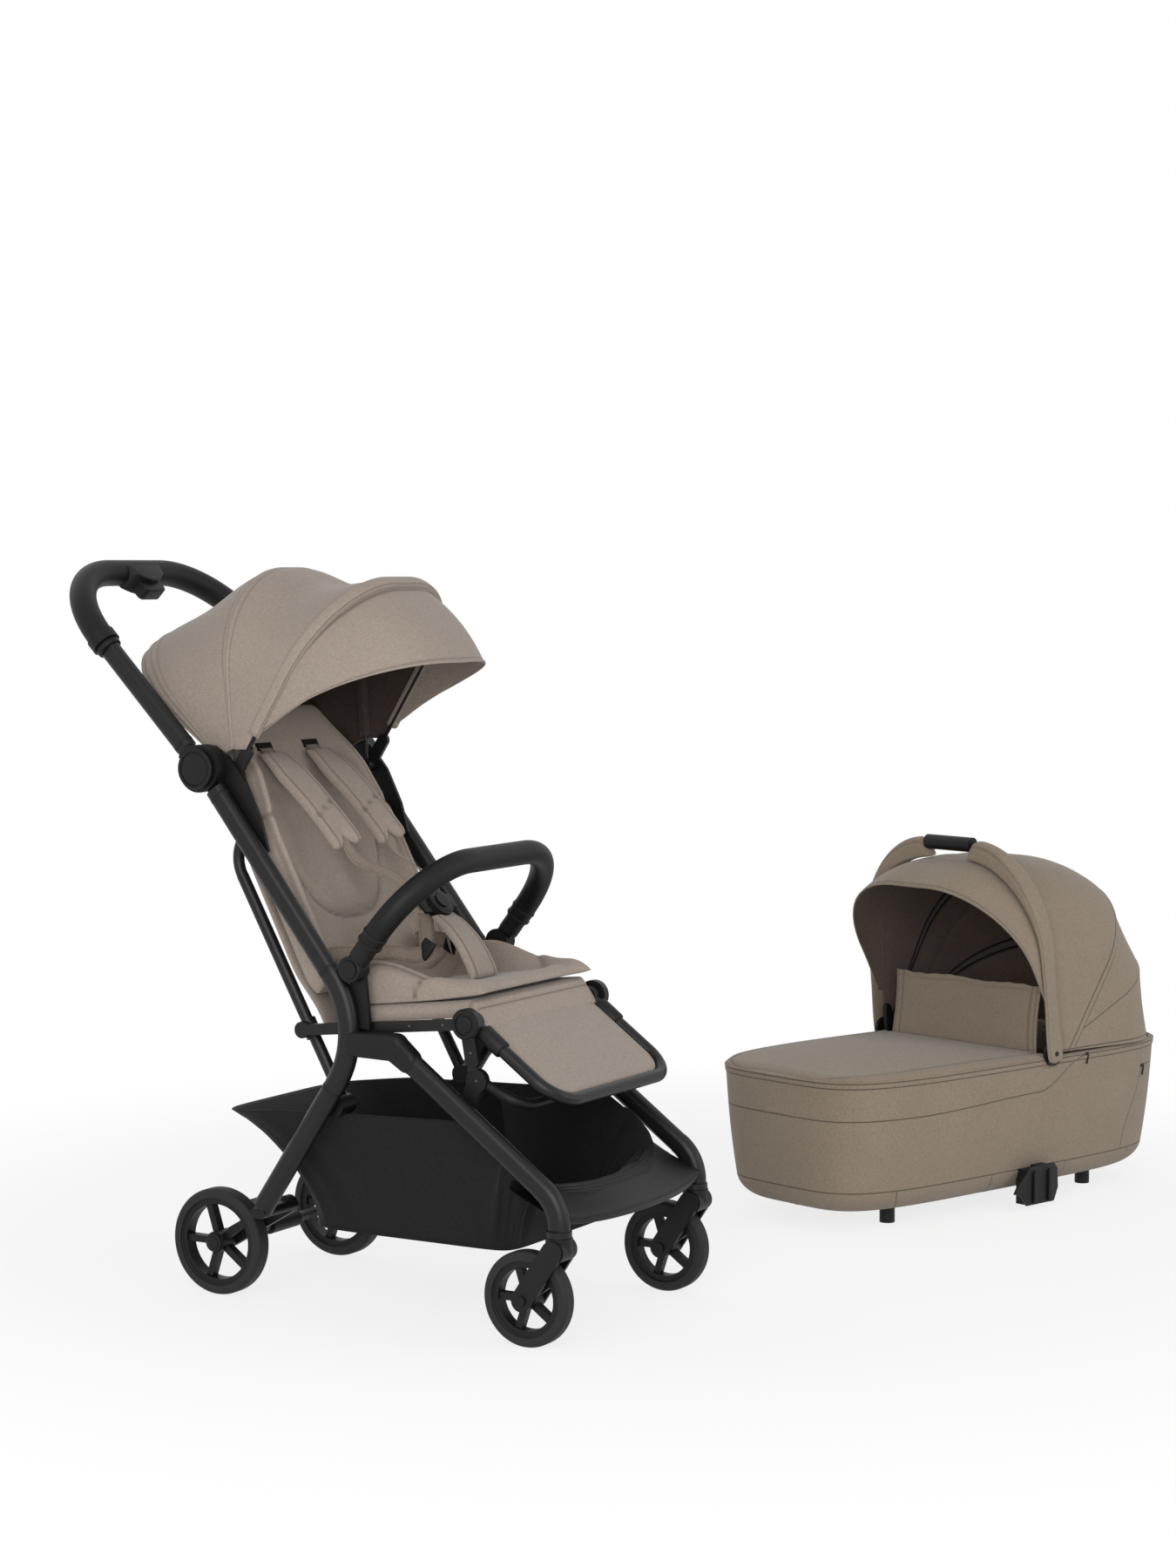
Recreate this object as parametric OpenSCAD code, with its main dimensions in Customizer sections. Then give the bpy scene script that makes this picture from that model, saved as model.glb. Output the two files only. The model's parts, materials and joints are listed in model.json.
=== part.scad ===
/* [Wheels] */
// Diameter of a rear wheel
rear_wheel_d = 150; // [135:1:165]
// Width of a rear tyre
rear_wheel_w = 26; // [20:1:30]
// From the middle of a side tube in to the middle of a rear wheel
wheel_inset = 42; // [39:1:47]
// Diameter of a front wheel
front_wheel_d = 128; // [110:1:136]
// Width of a front tyre
front_wheel_w = 24; // [18:1:28]
// How far a front wheel trails behind its swivel
caster_trail = 46; // [38:1:52]
// Tyre depth from tread to rim
tyre_t = 13; // [9:1:17]
// Spokes of a wheel
spokes = 5; // [4:1:7]
// Diameter of every wheel axle
axle_d = 8; // [6:0.5:10]

/* [Frame] */
// From the middle of the pushchair to the middle of a side tube
frame_half = 187; // [186:1:200]
// Width of a side tube, seen from the front
tube_w = 22; // [18:1:22]
// Depth of a side tube, seen from the side
tube_d = 30; // [24:1:32]
// How far the corner of post and rear leg lies ahead of the rear axle
knee_reach = 277; // [265:1:285]
// Height of that corner
knee_h = 397; // [385:1:405]
// Bend radius of that corner
knee_r = 124; // [110:1:135]
// Slope of the post from level
post_angle = 51.8; // [50:0.1:54]
// Slope of the rear leg from level
leg_angle = 56; // [54:0.1:58]
// Post length from that corner to the handle hinge
post_len = 439; // [420:1:460]
// Rear leg length from that corner to its foot
leg_len = 311; // [300:1:318]
// How far the fold pin lies ahead of the rear axle
fold_reach = 322; // [316:1:330]
// Height of the fold pin
fold_h = 379; // [372:1:384]
// Height at which a front leg bends down to its swivel
stem_bend_h = 191.7; // [185:0.1:198]
// How far the swivel axis lies ahead of the rear axle
stem_reach = 577; // [565:1:590]
// Height of the lower end of a front leg
stem_h = 150; // [148:1:158]
// Bend radius at the foot of a front leg
stem_r = 60; // [45:1:70]

/* [Handle] */
// Slope of the handle from level
handle_angle = 45.5; // [44:0.5:50]
// Handle length from its hinge to the middle of the crossbar
handle_len = 376; // [340:1:390]
// Corner radius of the handle
handle_r = 128; // [100:1:130]
// Diameter of the foam grip
grip_d = 38; // [32:1:42]
// Length of the grip along the handle, from its collars to the crossbar
grip_len = 140; // [136:1:155]
// Diameter of the handle hinge discs
disc_d = 66; // [56:1:68]

/* [Seat] */
// From the middle of a side tube in to the edge of the seat cushion
seat_inset = 29; // [27:1:42]
// Depth of the seat cushion from back to front
seat_depth = 205; // [190:1:215]
// Slope of the backrest from level
back_angle = 63; // [61:1:66]
// Length of the backrest from its hinge
back_len = 470; // [440:1:480]
// Space between the backrest and the sleeves on the struts
back_clear = 0.5; // [0.5:0.5:18]
// Length of the leg rest
rest_len = 165; // [150:1:175]
// Slope of the leg rest below level
rest_angle = 36; // [33:1:38]
// Length of the bumper bar from its hinge to its front
bumper_len = 180; // [165:1:195]
// Slope of the bumper bar from level
bumper_angle = 52; // [48:0.5:56]
// Diameter of the bumper bar with its cover
bumper_d = 34; // [30:1:35]

/* [Canopy] */
// Slope of the rear canopy hoop from level
hoop_rear_angle = 39; // [37:1:44]
// Slope of the middle hoop
hoop_mid_angle = 86; // [82:1:90]
// Slope of the front hoop
hoop_front_angle = 122.4; // [118:0.1:126]
// Reach of the visor past the front hoop, as an angle
visor_angle = 26; // [18:1:28]
// Length of the rear and middle hoops from the pivot
hoop_len = 283; // [270:1:295]
// Length of the front hoop from the pivot
hoop_front_len = 311; // [295:1:320]
// Corner radius of the hoops
hoop_r = 148; // [120:1:150]
// Wire diameter of the hoops
hoop_d = 5; // [4:0.5:5]
// Thickness of cover cloth
cloth_t = 2.5; // [2:0.5:3]

/* [Basket] */
// From the middle of a side tube in to the rim of the basket
basket_inset = 27; // [26:1:37]
// How far the basket floor is drawn in from its rim, on each side
basket_flare = 24; // [20:1:35]
// Height of the basket floor
basket_floor_h = 108; // [104:1:120]

/* [Carrycot] */
// Length of the carrycot at its rim
cot_len = 790; // [740:1:820]
// Width of the carrycot at its rim
cot_w = 360; // [340:1:380]
// Height of the rim above the floor
cot_rim_h = 238; // [225:1:255]
// Height of the feet
cot_foot_h = 28; // [22:1:34]
// Wall thickness of the padded tub
cot_wall = 12; // [9:1:15]
// Height of the carry arch above its hinge
cot_arch_len = 318; // [300:1:330]
// How far the carrycot stands to the left of the pushchair
cot_x = 1020; // [1000:1:1100]
// How far the carrycot stands ahead of the rear axle
cot_reach = 590; // [560:1:620]
// How far the carrycot is turned
cot_turn = 18; // [10:1:25]

/* [Hidden] */
$fn = 48;

// Clearances: cuts run over, moving parts stand apart, shafts run in bores, soft parts lie on their seats
overrun = 1;
gap = 0.5;
fit = 0.05;
seat_gap = 0.3;

// Colours
black = "#2a2a2c";
dark = "#1d1d1f";
taupe = "#9a8d81";
taupe_dark = "#857668";
chrome = "#c8c8c8";

// Side view points are [y, z] with the rear axle at y = 0 and the floor at z = 0
knee = [-knee_reach, knee_h];
post_dir = [cos(post_angle), sin(post_angle)];
leg_dir = [cos(leg_angle), -sin(leg_angle)];
disc = knee + post_len * post_dir;
foot = knee + leg_len * leg_dir;
knee_turn = 180 - post_angle - leg_angle;
knee_tangent = knee_r * tan(knee_turn / 2);
knee_mid_dir = (post_dir + leg_dir) / norm(post_dir + leg_dir);
knee_c = knee + knee_mid_dir * knee_r / cos(knee_turn / 2);
fold = [-fold_reach, fold_h];
front_angle = atan((fold_h - stem_bend_h) / (stem_reach - fold_reach));
front_dir = [-cos(front_angle), -sin(front_angle)];
stem = [-stem_reach, stem_bend_h];
stem_turn = 90 - front_angle;
stem_tangent = stem_r * tan(stem_turn / 2);
axle_h = rear_wheel_d / 2;
rear_track = 2 * (frame_half - wheel_inset);
front_hub = [-stem_reach + caster_trail, front_wheel_d / 2];
handle_dir = [cos(handle_angle), sin(handle_angle)];

// Sizes of the frame fittings
hinge_ring = 3;
hinge_gap_r = disc_d / 2 + hinge_ring;
hinge_pin_d = 10;
fold_pin_d = 8;
knuckle_skin = 2;
knuckle_w = tube_w + 2 * knuckle_skin;
cheek_t = 5;
cheek_r = 18;
cheek_clear = 4;
knuckle_h = 40;
strut_inset = 37;
strut_x = frame_half - strut_inset;
strut_d = 16;
strut_boss_d = 20;
strut_top = [-62, 664];
strut_bend = [-29, 622];
strut_foot = [-215, 288];
strut_r = 50;
strut_bracket_d = 28;
seat_pivot_h = 388;
seat_pivot_share = (strut_bend.y - seat_pivot_h) / (strut_bend.y - strut_foot.y);
seat_pivot = strut_bend + (strut_foot - strut_bend) * seat_pivot_share;
pivot_pin_d = 8;
sleeve_d = 23;
sleeve_len = 26;
back_half = strut_x - sleeve_d / 2 - back_clear;
seat_half = frame_half - seat_inset;
seat_bar_inset = 19.5;
seat_bar_x = frame_half - seat_bar_inset;
seat_bar_w = 11;
seat_bar_d = 15;
rest_knuckle = [-424, 415];
rest_knuckle_d = 42;
rest_knuckle_w = 20;
bumper_outset = 3;
bumper_x = frame_half + bumper_outset;
bumper_pin_d = 10;
bumper_pivot = [-256, 480];
bumper_hub_d = 36;
bumper_hub_w = 16;
socket_inset = 12;
socket_in = frame_half - socket_inset;
socket_t = bumper_x - bumper_hub_w / 2 - gap - socket_in;
socket_foot_d = 26;
socket_lean = 8;
socket_sink = 6;
button_d = 24;
button_t = 7;
button_travel = 2.5;
canopy_pivot_off = [-38.5, -13];
canopy_pivot = disc + canopy_pivot_off;
bracket_t = 5;
bracket_x = frame_half - tube_w / 2 - gap - bracket_t / 2;
bracket_len = 150;
bracket_h = 40;
eye_t = 6;
eye_d = 20;
hoop_front_x = bracket_x - bracket_t / 2 - gap - eye_t / 2;
hoop_mid_x = hoop_front_x - eye_t - gap;
hoop_rear_x = hoop_mid_x - eye_t - gap;
hoop_flat = 6;
hoop_bend_r = min(hoop_r, hoop_rear_x - hoop_flat);
grip_from = handle_len - grip_len;

// Places the pushchair and the carrycot about the middle of the set
cot_corner_share = 0.054;
cot_side_share = 0.358;
set_x = -(cot_x + cot_len / 2 * cos(cot_turn) + cot_w * cot_corner_share - bumper_x - bumper_d / 2) / 2;
set_y = (cot_reach + cot_len / 2 * sin(cot_turn) + cot_w * cot_side_share
  - disc.x - handle_len * handle_dir.x - grip_d / 2) / 2;
module placed() translate([set_x, set_y, 0]) children();
module cot_placed() placed() translate([cot_x, -cot_reach, 0]) rotate(-cot_turn) children();

// Shapes that repeat
module both() {
  children();
  mirror([1, 0, 0]) children();
}
module side(x, t) translate([x, 0, 0]) rotate([90, 0, 90]) linear_extrude(t, center = true) children();
module strip(a, b, w) {
  v = b - a;
  translate(a) rotate(atan2(v.y, v.x)) {
    translate([0, -w / 2]) square([norm(v), w]);
    circle(d = w);
    translate([norm(v), 0]) circle(d = w);
  }
}
module oval(w, d) {
  for (s = [-1, 1]) translate([0, s * (d - w) / 2]) circle(d = w);
  square([w, d - w], center = true);
}
module run(x, a, b, w, d) {
  v = b - a;
  translate([x, a.x, a.y]) rotate([atan2(-v.x, v.y), 0, 0]) linear_extrude(norm(v)) oval(w, d);
}
module elbow(x, c, r, from, to, w, d)
  translate([x, c.x, c.y]) rotate([90, 0, 90]) rotate(from)
    rotate_extrude(angle = to - from) translate([r, 0]) rotate(90) oval(w, d);
module rod(p, q, d) {
  v = q - p;
  translate(p) rotate([0, acos(v.z / norm(v)), atan2(v.y, v.x)]) cylinder(h = norm(v), d = d);
}
module pin(x0, x1, at, d) translate([x0, at.x, at.y]) rotate([0, 90, 0]) cylinder(h = x1 - x0, d = d);
module tilt(at, angle) translate([0, at.x, at.y]) rotate([angle, 0, 0]) children();
module u_bar(half, len, r, d, from = 0) {
  for (s = [-1, 1]) {
    translate([s * half, from, 0]) rotate([-90, 0, 0]) cylinder(h = len - r - from, d = d);
    translate([s * (half - r), len - r, 0]) rotate(s > 0 ? 0 : 90)
      rotate_extrude(angle = 90) translate([r, 0]) circle(d = d);
  }
  translate([r - half, len, 0]) rotate([0, 90, 0]) cylinder(h = 2 * (half - r), d = d);
}
module strap(p, q, w, t) hull() for (at = [p, q]) translate(at) cube([w, t, t], center = true);

// Closed solid between an outer and an inner grid of points
module slab(a, b) {
  rows = len(a);
  cols = len(a[0]);
  n = rows * cols;
  points = concat([for (r = a) each r], [for (r = b) each r]);
  quads = concat(
    [for (i = [0 : rows - 2], j = [0 : cols - 2])
      [i * cols + j, i * cols + j + 1, (i + 1) * cols + j + 1, (i + 1) * cols + j]],
    [for (i = [0 : rows - 2], j = [0 : cols - 2])
      [n + i * cols + j, n + (i + 1) * cols + j, n + (i + 1) * cols + j + 1, n + i * cols + j + 1]],
    [for (j = [0 : cols - 2]) [j + 1, j, n + j, n + j + 1]],
    [for (j = [0 : cols - 2], k = (rows - 1) * cols) [k + j, k + j + 1, n + k + j + 1, n + k + j]],
    [for (i = [0 : rows - 2], k = i * cols) [k, k + cols, n + k + cols, n + k]],
    [for (i = [0 : rows - 2], k = i * cols + cols - 1) [k + cols, k, n + k, n + k + cols]]
  );
  polyhedron(points, [for (q = quads) each [[q[0], q[1], q[2]], [q[0], q[2], q[3]]]]);
}
// Closed solid through rings of points, each ring run clockwise as seen from the last one
module loft(rings) {
  n = len(rings[0]);
  last = len(rings) - 1;
  sum_of = [for (x = rings[0]) 1];
  middles = [for (r = [rings[0], rings[last]]) sum_of * r / n];
  points = concat([for (r = rings) each r], middles);
  base = len(points) - 2;
  faces = concat(
    [for (i = [0 : last - 1], j = [0 : n - 1], k = (j + 1) % n)
      each [[i * n + j, i * n + k, (i + 1) * n + k], [i * n + j, (i + 1) * n + k, (i + 1) * n + j]]],
    [for (j = [0 : n - 1]) [base, (j + 1) % n, j]],
    [for (j = [0 : n - 1]) [base + 1, last * n + j, last * n + (j + 1) % n]]
  );
  polyhedron(points, faces);
}
// A ring of a rounded box: half sizes a and b about a middle, at a height
ring_points = 32;
function box_pow(v, power) = sign(v) * pow(abs(v), power);
function box_ring(a, b, z, y, power) = [for (i = [0 : ring_points - 1], t = -i * 360 / ring_points)
  [a * box_pow(cos(t), power), y + b * box_pow(sin(t), power), z]];
// Point along a hoop, where t runs from 0 at one foot to 1 at the other: [across, along]
leg_share = 0.18;
bend_share = 0.3;
function hoop_point(t, half, len, r) =
  t > 0.5 ? let (p = hoop_point(1 - t, half, len, r)) [-p.x, p.y] :
  t < leg_share ? [-half, (len - r) * t / leg_share] :
  let (turn = min(90, 90 * (t - leg_share) / bend_share), over = (0.5 - t) / (0.5 - leg_share - bend_share))
    [-r * cos(turn) - (half - r) * min(1, over), len - r + r * sin(turn)];
function hoop_at(p, at, angle) = [p.x, at.x + p.y * cos(angle), at.y + p.y * sin(angle)];

// Side tubes: a hollow post and rear leg let into a moulded bend
tube_wall = 2;
bend_more = 1;
bend_lap = 3;
module side_runs(x, w, d, more) {
  run(x, knee + (knee_tangent - more) * post_dir, knee + (post_len - hinge_gap_r + more) * post_dir, w, d);
  run(x, knee + (knee_tangent - more) * leg_dir, foot + more * leg_dir, w, d);
}
module side_bend(x, w, d) {
  lap = atan(bend_lap / knee_r);
  elbow(x, knee_c, knee_r, 90 + post_angle - lap, 270 - leg_angle + lap, w + bend_more, d + bend_more);
}
module side_space() {
  side_runs(-frame_half, tube_w + fit, tube_d + fit, overrun);
  side_bend(-frame_half, tube_w + fit, tube_d + fit);
}
module hollow_side_tube() {
  difference() {
    side_runs(-frame_half, tube_w, tube_d, 0);
    side_runs(-frame_half, tube_w - 2 * tube_wall, tube_d - 2 * tube_wall, overrun);
  }
  side_bend(-frame_half, tube_w, tube_d);
}
module main_tubes() color(black) placed() both() hollow_side_tube();

// Lower half of each handle hinge, with the pin that the handle turns on
housing_t = tube_w / 2 - gap / 2;
neck_inset = 2;
neck_h = tube_d - 2 * neck_inset;
module hinge_half(x, dir) {
  side(x, housing_t) {
    circle_at(disc, disc_d);
    strip(disc, disc + dir * (hinge_gap_r - neck_h / 2), neck_h);
    intersection() {
      strip(disc, disc + dir * hinge_gap_r, neck_h);
      circle_at(disc, 2 * hinge_gap_r);
    }
  }
}
module circle_at(at, d) translate(at) circle(d = d);
housing_x = frame_half - tube_w / 2 + housing_t / 2;
module hinge_housings() color(dark) placed() both() {
  hinge_half(-housing_x, -post_dir);
  pin(-frame_half - tube_w / 2, -housing_x, disc, hinge_pin_d);
}

// Fins on the posts that carry the canopy pivots, with the fixed rear hoop
fin_shares = [[-0.10, 0], [-0.12, 0.7], [0.06, 0.96], [0.36, 1], [0.72, 0.72], [1, 0.3], [1, 0]];
module canopy_brackets() color(dark) placed() {
  both() {
    side(-bracket_x, bracket_t) difference() {
      translate(disc) rotate(180 + post_angle) mirror([0, 1])
        polygon([for (s = fin_shares) [s.x * bracket_len, s.y * bracket_h]]);
      circle_at(strut_top, strut_boss_d + 2 * gap);
    }
    pin(-bracket_x, -hoop_rear_x + eye_t / 2, canopy_pivot, pivot_pin_d);
  }
  hoop(hoop_rear_x, hoop_rear_angle, hoop_len, pivot_pin_d);
}
module hoop(x, angle, len, bore_d) difference() {
  union() {
    tilt(canopy_pivot, angle) u_bar(x, len, hoop_bend_r, hoop_d);
    both() pin(-x - eye_t / 2, -x + eye_t / 2, canopy_pivot, eye_d);
  }
  both() pin(-x - eye_t, -x + eye_t, canopy_pivot, bore_d);
}

// Castings on the bends that carry the front legs, with their pins
arc_front = knee_c.x - knee_r;
module fold_knuckles() color(black) placed() both() {
  difference() {
    side(-frame_half, knuckle_w) {
      polygon([[arc_front, fold.y - knuckle_h / 2], [arc_front, fold.y + knuckle_h / 2],
        fold + [0, cheek_r], fold - [0, cheek_r]]);
      circle_at(fold, 2 * cheek_r);
    }
    side(-frame_half, knuckle_w - 2 * cheek_t) circle_at(fold, 2 * cheek_r + 2 * cheek_clear);
    side_space();
    pin(-frame_half - knuckle_w, -frame_half + knuckle_w, fold, fold_pin_d);
  }
  pin(-frame_half - knuckle_w / 2, -frame_half + knuckle_w / 2, fold, fold_pin_d);
}

// Sockets that stand on the castings and carry the bumper bar
socket_foot = [bumper_pivot.x - socket_lean, fold.y + knuckle_h / 2 + socket_foot_d / 2 - socket_sink];
module bumper_sockets() color(dark) placed() both() {
  difference() {
    side(-socket_in - socket_t / 2, socket_t) {
      strip(bumper_pivot, socket_foot, socket_foot_d);
      circle_at(bumper_pivot, bumper_hub_d);
      translate([socket_foot.x - socket_foot_d / 2, fold.y]) square([socket_foot_d, socket_foot.y - fold.y]);
    }
    fold_knuckle_space();
    side_space();
  }
  pin(-bumper_x - bumper_hub_w / 2 + button_t + gap, -socket_in - socket_t, bumper_pivot, bumper_pin_d);
}
module fold_knuckle_space() side(-frame_half, knuckle_w + fit)
  polygon([[arc_front + knuckle_h, fold.y - knuckle_h / 2], [arc_front + knuckle_h, fold.y + knuckle_h / 2],
    [arc_front, fold.y + knuckle_h / 2], fold + [0, cheek_r], fold - [0, cheek_r]]);

// Thin struts behind the posts, with the sleeves that carry the seat and the backrest
module rear_struts() color(black) placed() both() {
  at = [for (p = [strut_top, strut_bend, strut_foot]) [-strut_x, p.x, p.y]];
  top_dir = (strut_bend - strut_top) / norm(strut_bend - strut_top);
  low_dir = (strut_foot - strut_bend) / norm(strut_foot - strut_bend);
  half_turn = acos(top_dir * low_dir) / 2;
  tangent = strut_r * tan(half_turn);
  from = atan2(top_dir.y, top_dir.x) + 90;
  run(-strut_x, strut_top, strut_bend - tangent * top_dir, strut_d, strut_d + bend_more);
  bend_dir = (low_dir - top_dir) / norm(low_dir - top_dir);
  elbow(-strut_x, strut_bend + strut_r / cos(half_turn) * bend_dir, strut_r,
    from - 2 * half_turn, from, strut_d, strut_d);
  run(-strut_x, strut_bend + tangent * low_dir, strut_foot, strut_d, strut_d + bend_more);
  pin(-frame_half + tube_w / 2, -strut_x + strut_d / 3, strut_top, strut_boss_d);
  pin(-frame_half + tube_w / 2, -strut_x + strut_d / 2, strut_foot, strut_bracket_d);
  sleeve_dir = (strut_foot - strut_bend) / norm(strut_foot - strut_bend);
  rod([-strut_x, seat_pivot.x, seat_pivot.y] - sleeve_len / 2 * [0, sleeve_dir.x, sleeve_dir.y],
    [-strut_x, seat_pivot.x, seat_pivot.y] + sleeve_len / 2 * [0, sleeve_dir.x, sleeve_dir.y], sleeve_d);
  pin(-seat_bar_x - seat_bar_w / 2, -back_half + ear_t, seat_pivot, pivot_pin_d);
}

// Rear axle: a steel rod, stiffened between the brackets by a tube
arm_t = 12;
hub_over = 2;
hub_w = rear_wheel_w + 2 * hub_over;
arm_x = rear_track / 2 - hub_w / 2 - gap - arm_t / 2;
cap_t = 3;
cap_d = 26;
axle_tube_d = 14;
module rear_axle() color(dark) placed() {
  reach = rear_track / 2 + hub_w / 2 + gap;
  pin(-reach, reach, [0, axle_h], axle_d);
  pin(-arm_x + arm_t / 2, arm_x - arm_t / 2, [0, axle_h], axle_tube_d);
  both() pin(-reach - cap_t, -reach, [0, axle_h], cap_d);
}
// Brackets from the rear legs to the axle
arm_d = 26;
shoe_t = 14;
module axle_brackets() color(dark) placed() both() difference() {
  shoe = foot + shoe_t / 2 * leg_dir + [0, -gap];
  reach = frame_half + tube_w / 2 - arm_x + arm_t / 2;
  union() {
    side(-arm_x, arm_t) strip(shoe, [0, axle_h], arm_d);
    translate([-arm_x + arm_t / 2 - reach / 2, 0, 0]) side(0, reach) strip(shoe - [tube_d / 4, 0],
      shoe + [tube_d / 8, 0], shoe_t);
  }
  pin(-frame_half, 0, [0, axle_h], axle_d);
  side_space();
}

// Foot brake that turns on the axle tube
pedal_w = 66;
pedal_reach = 52;
pedal_t = 9;
pedal_ring_d = 24;
module brake_pedal() color(dark) placed() difference() {
  union() {
    pin(-pedal_w / 2, pedal_w / 2, [0, axle_h], pedal_ring_d);
    side(0, pedal_w) strip([0, axle_h + pedal_ring_d / 4], [pedal_reach, axle_h + pedal_ring_d], pedal_t);
  }
  pin(-pedal_w, pedal_w, [0, axle_h], axle_tube_d + 2 * fit);
}

// Cloth basket: an open tray that hangs below the struts and sags in the middle
basket_half = frame_half - basket_inset;
basket_floor_half = basket_half - basket_flare;
basket_front_set = 67;
basket_slope = 42;
basket_rear_slope = 138;
basket_rear = 6;
basket_front = basket_front_set - stem_reach;
basket_floor_rear = basket_rear - basket_rear_slope;
basket_floor_front = basket_front + basket_slope;
rim_rear_h = 258;
rim_hang_h = strut_foot.y - strut_bracket_d / 2 - seat_gap;
hang_span = 100;
hang_drop = 1.5;
rim_high_set = 89;
rim_high_h = 276;
rim_high = [basket_front + rim_high_set, rim_high_h];
rim_front_h = 212;
basket_wall = 3;
basket_power = 0.34;
rear_power = 1.6;
rim_heights = [[basket_front, rim_front_h], rim_high, [strut_foot.x - hang_span, rim_hang_h + hang_drop],
  [strut_foot.x + hang_span, rim_hang_h - hang_drop], [basket_rear, rim_rear_h]];
function basket_ring(t, in) = let (
    half = basket_floor_half + (basket_half - basket_floor_half) * t - in,
    rear = basket_floor_rear + (basket_rear - basket_floor_rear) * pow(t, rear_power) - in,
    front = basket_floor_front + (basket_front - basket_floor_front) * t + in)
  [for (p = box_ring(half, (rear - front) / 2, 0, (rear + front) / 2, basket_power))
    [p.x, p.y, basket_floor_h + (lookup(p.y, rim_heights) - basket_floor_h) * t]];
function flat_ring(ring, z, s) = let (c = (basket_floor_rear + basket_floor_front) / 2)
  [for (p = ring) [p.x * s, c + (p.y - c) * s, z]];
floor_bow_shares = [0.02, 0.5];
wall_shares = [0.03, 0.3, 0.65, 1];
module basket() color(dark) placed() loft(concat(
  [for (s = floor_bow_shares) flat_ring(basket_ring(0, 0), basket_floor_h, s)],
  [for (t = wall_shares) basket_ring(t, 0)],
  [for (t = turned(wall_shares)) basket_ring(max(t, 2 * wall_shares[0]), basket_wall)],
  [for (s = [floor_bow_shares[1], floor_bow_shares[0]])
    flat_ring(basket_ring(0, basket_wall), basket_floor_h + 2 * basket_wall, s)]));

// Covers of the canopy, stretched over the hoops
hoop_steps = 22;
sleeve_off = 1;
sleeve_in = hoop_d / 2 + sleeve_off;
cover_from_share = 0.062;
hoop_angles = [hoop_rear_angle, hoop_mid_angle, hoop_front_angle];
hoop_lens = [hoop_len, hoop_len, hoop_front_len];
hoop_xs = [hoop_rear_x, hoop_mid_x, hoop_front_x];
sag = 16;
function mix(a, b, t) = a + (b - a) * t;
function cover_row(k, t, out) = [for (j = [0 : hoop_steps],
    s = mix(cover_from_share, 1 - cover_from_share, j / hoop_steps))
  hoop_at(hoop_point(s, mix(hoop_xs[k], hoop_xs[k + 1], t) + out,
    mix(hoop_lens[k], hoop_lens[k + 1], t) + out - sag * sin(180 * t) * sin(180 * s), hoop_bend_r),
    canopy_pivot, mix(hoop_angles[k], hoop_angles[k + 1], t))];
module cover(k, rows) slab([for (t = rows) cover_row(k, t, sleeve_in + cloth_t)],
  [for (t = rows) cover_row(k, t, sleeve_in)]);
rear_cover_shares = [-0.04, 0, 0.25, 0.5, 0.75, 0.97];
front_cover_shares = [-0.02, 0, 0.25, 0.5, 0.75, 0.94];
module canopy_rear_cover() color(taupe) placed() cover(0, rear_cover_shares);
module canopy_front_cover() color(taupe) placed() cover(1, front_cover_shares);

// Middle and front hoops, and the visor that the front hoop carries
module canopy_mid_hoop() color(black) placed()
  hoop(hoop_mid_x, hoop_mid_angle, hoop_len, pivot_pin_d + 2 * fit);
clip_len = 44;
clip_d = 18;
module canopy_front_hoop() color(black) placed() difference() {
  union() {
    hoop(hoop_front_x, hoop_front_angle, hoop_front_len, pivot_pin_d + 2 * fit);
    both() side(-hoop_front_x, eye_t) strip(canopy_pivot,
      canopy_pivot + clip_len * [cos(hoop_front_angle), sin(hoop_front_angle)], clip_d);
  }
  both() pin(-bracket_x, 0, canopy_pivot, pivot_pin_d + 2 * fit);
}
visor_from_share = 0.12;
visor_steps = 4;
visor_drop = 4;
visor_power = 0.4;
function visor_row(t, out) = [for (j = [0 : hoop_steps],
    s = mix(visor_from_share, 1 - visor_from_share, j / hoop_steps),
    full = pow(sin(180 * j / hoop_steps), visor_power))
  hoop_at(hoop_point(s, hoop_front_x + out, hoop_front_len + out - visor_drop * t * full, hoop_bend_r),
    canopy_pivot, hoop_front_angle - 1 + (visor_angle * full + 1.5) * t)];
module canopy_visor() color(taupe) placed()
  slab([for (i = [0 : visor_steps]) visor_row(i / visor_steps, sleeve_in + cloth_t)],
    [for (i = [0 : visor_steps]) visor_row(i / visor_steps, sleeve_in)]);

// Front legs, which turn on the fold pins
tongue_t = knuckle_w - 2 * cheek_t - 2 * gap;
tongue_inset = 2;
leg_start = 3;
leg_from = cheek_r + leg_start;
stem_pin_d = 10;
stem_pin_len = 34;
stem_over = 2;
stem_d = tube_d + 2 * stem_over;
stem_collar_h = 8;
module stem_bend(more) {
  lap = atan(bend_lap / stem_r);
  elbow(-frame_half, stem + [stem_r, -stem_tangent], stem_r, 90 + front_angle - lap, 180 + lap,
    tube_w + bend_more + more, tube_d + bend_more + more);
}
module front_legs() color(black) placed() both() difference() {
  union() {
    side(-frame_half, tongue_t) {
      circle_at(fold, 2 * cheek_r - 2 * tongue_inset);
      strip(fold, fold + front_dir * leg_from, tube_d - 3 * tongue_inset);
    }
    run(-frame_half, fold + front_dir * leg_from, stem - front_dir * stem_tangent, tube_w, tube_d);
    stem_bend(0);
    run(-frame_half, stem - [0, stem_tangent], [stem.x, stem_h + overrun], tube_w, tube_d);
    translate([-frame_half, stem.x, stem_h]) cylinder(h = stem_collar_h, d = stem_d);
  }
  pin(-frame_half - tube_w, -frame_half + tube_w, fold, fold_pin_d + 2 * fit);
  translate([-frame_half, stem.x, stem_h - overrun])
    cylinder(h = stem_pin_len + 2 * overrun, d = stem_pin_d + 2 * fit);
}

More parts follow.
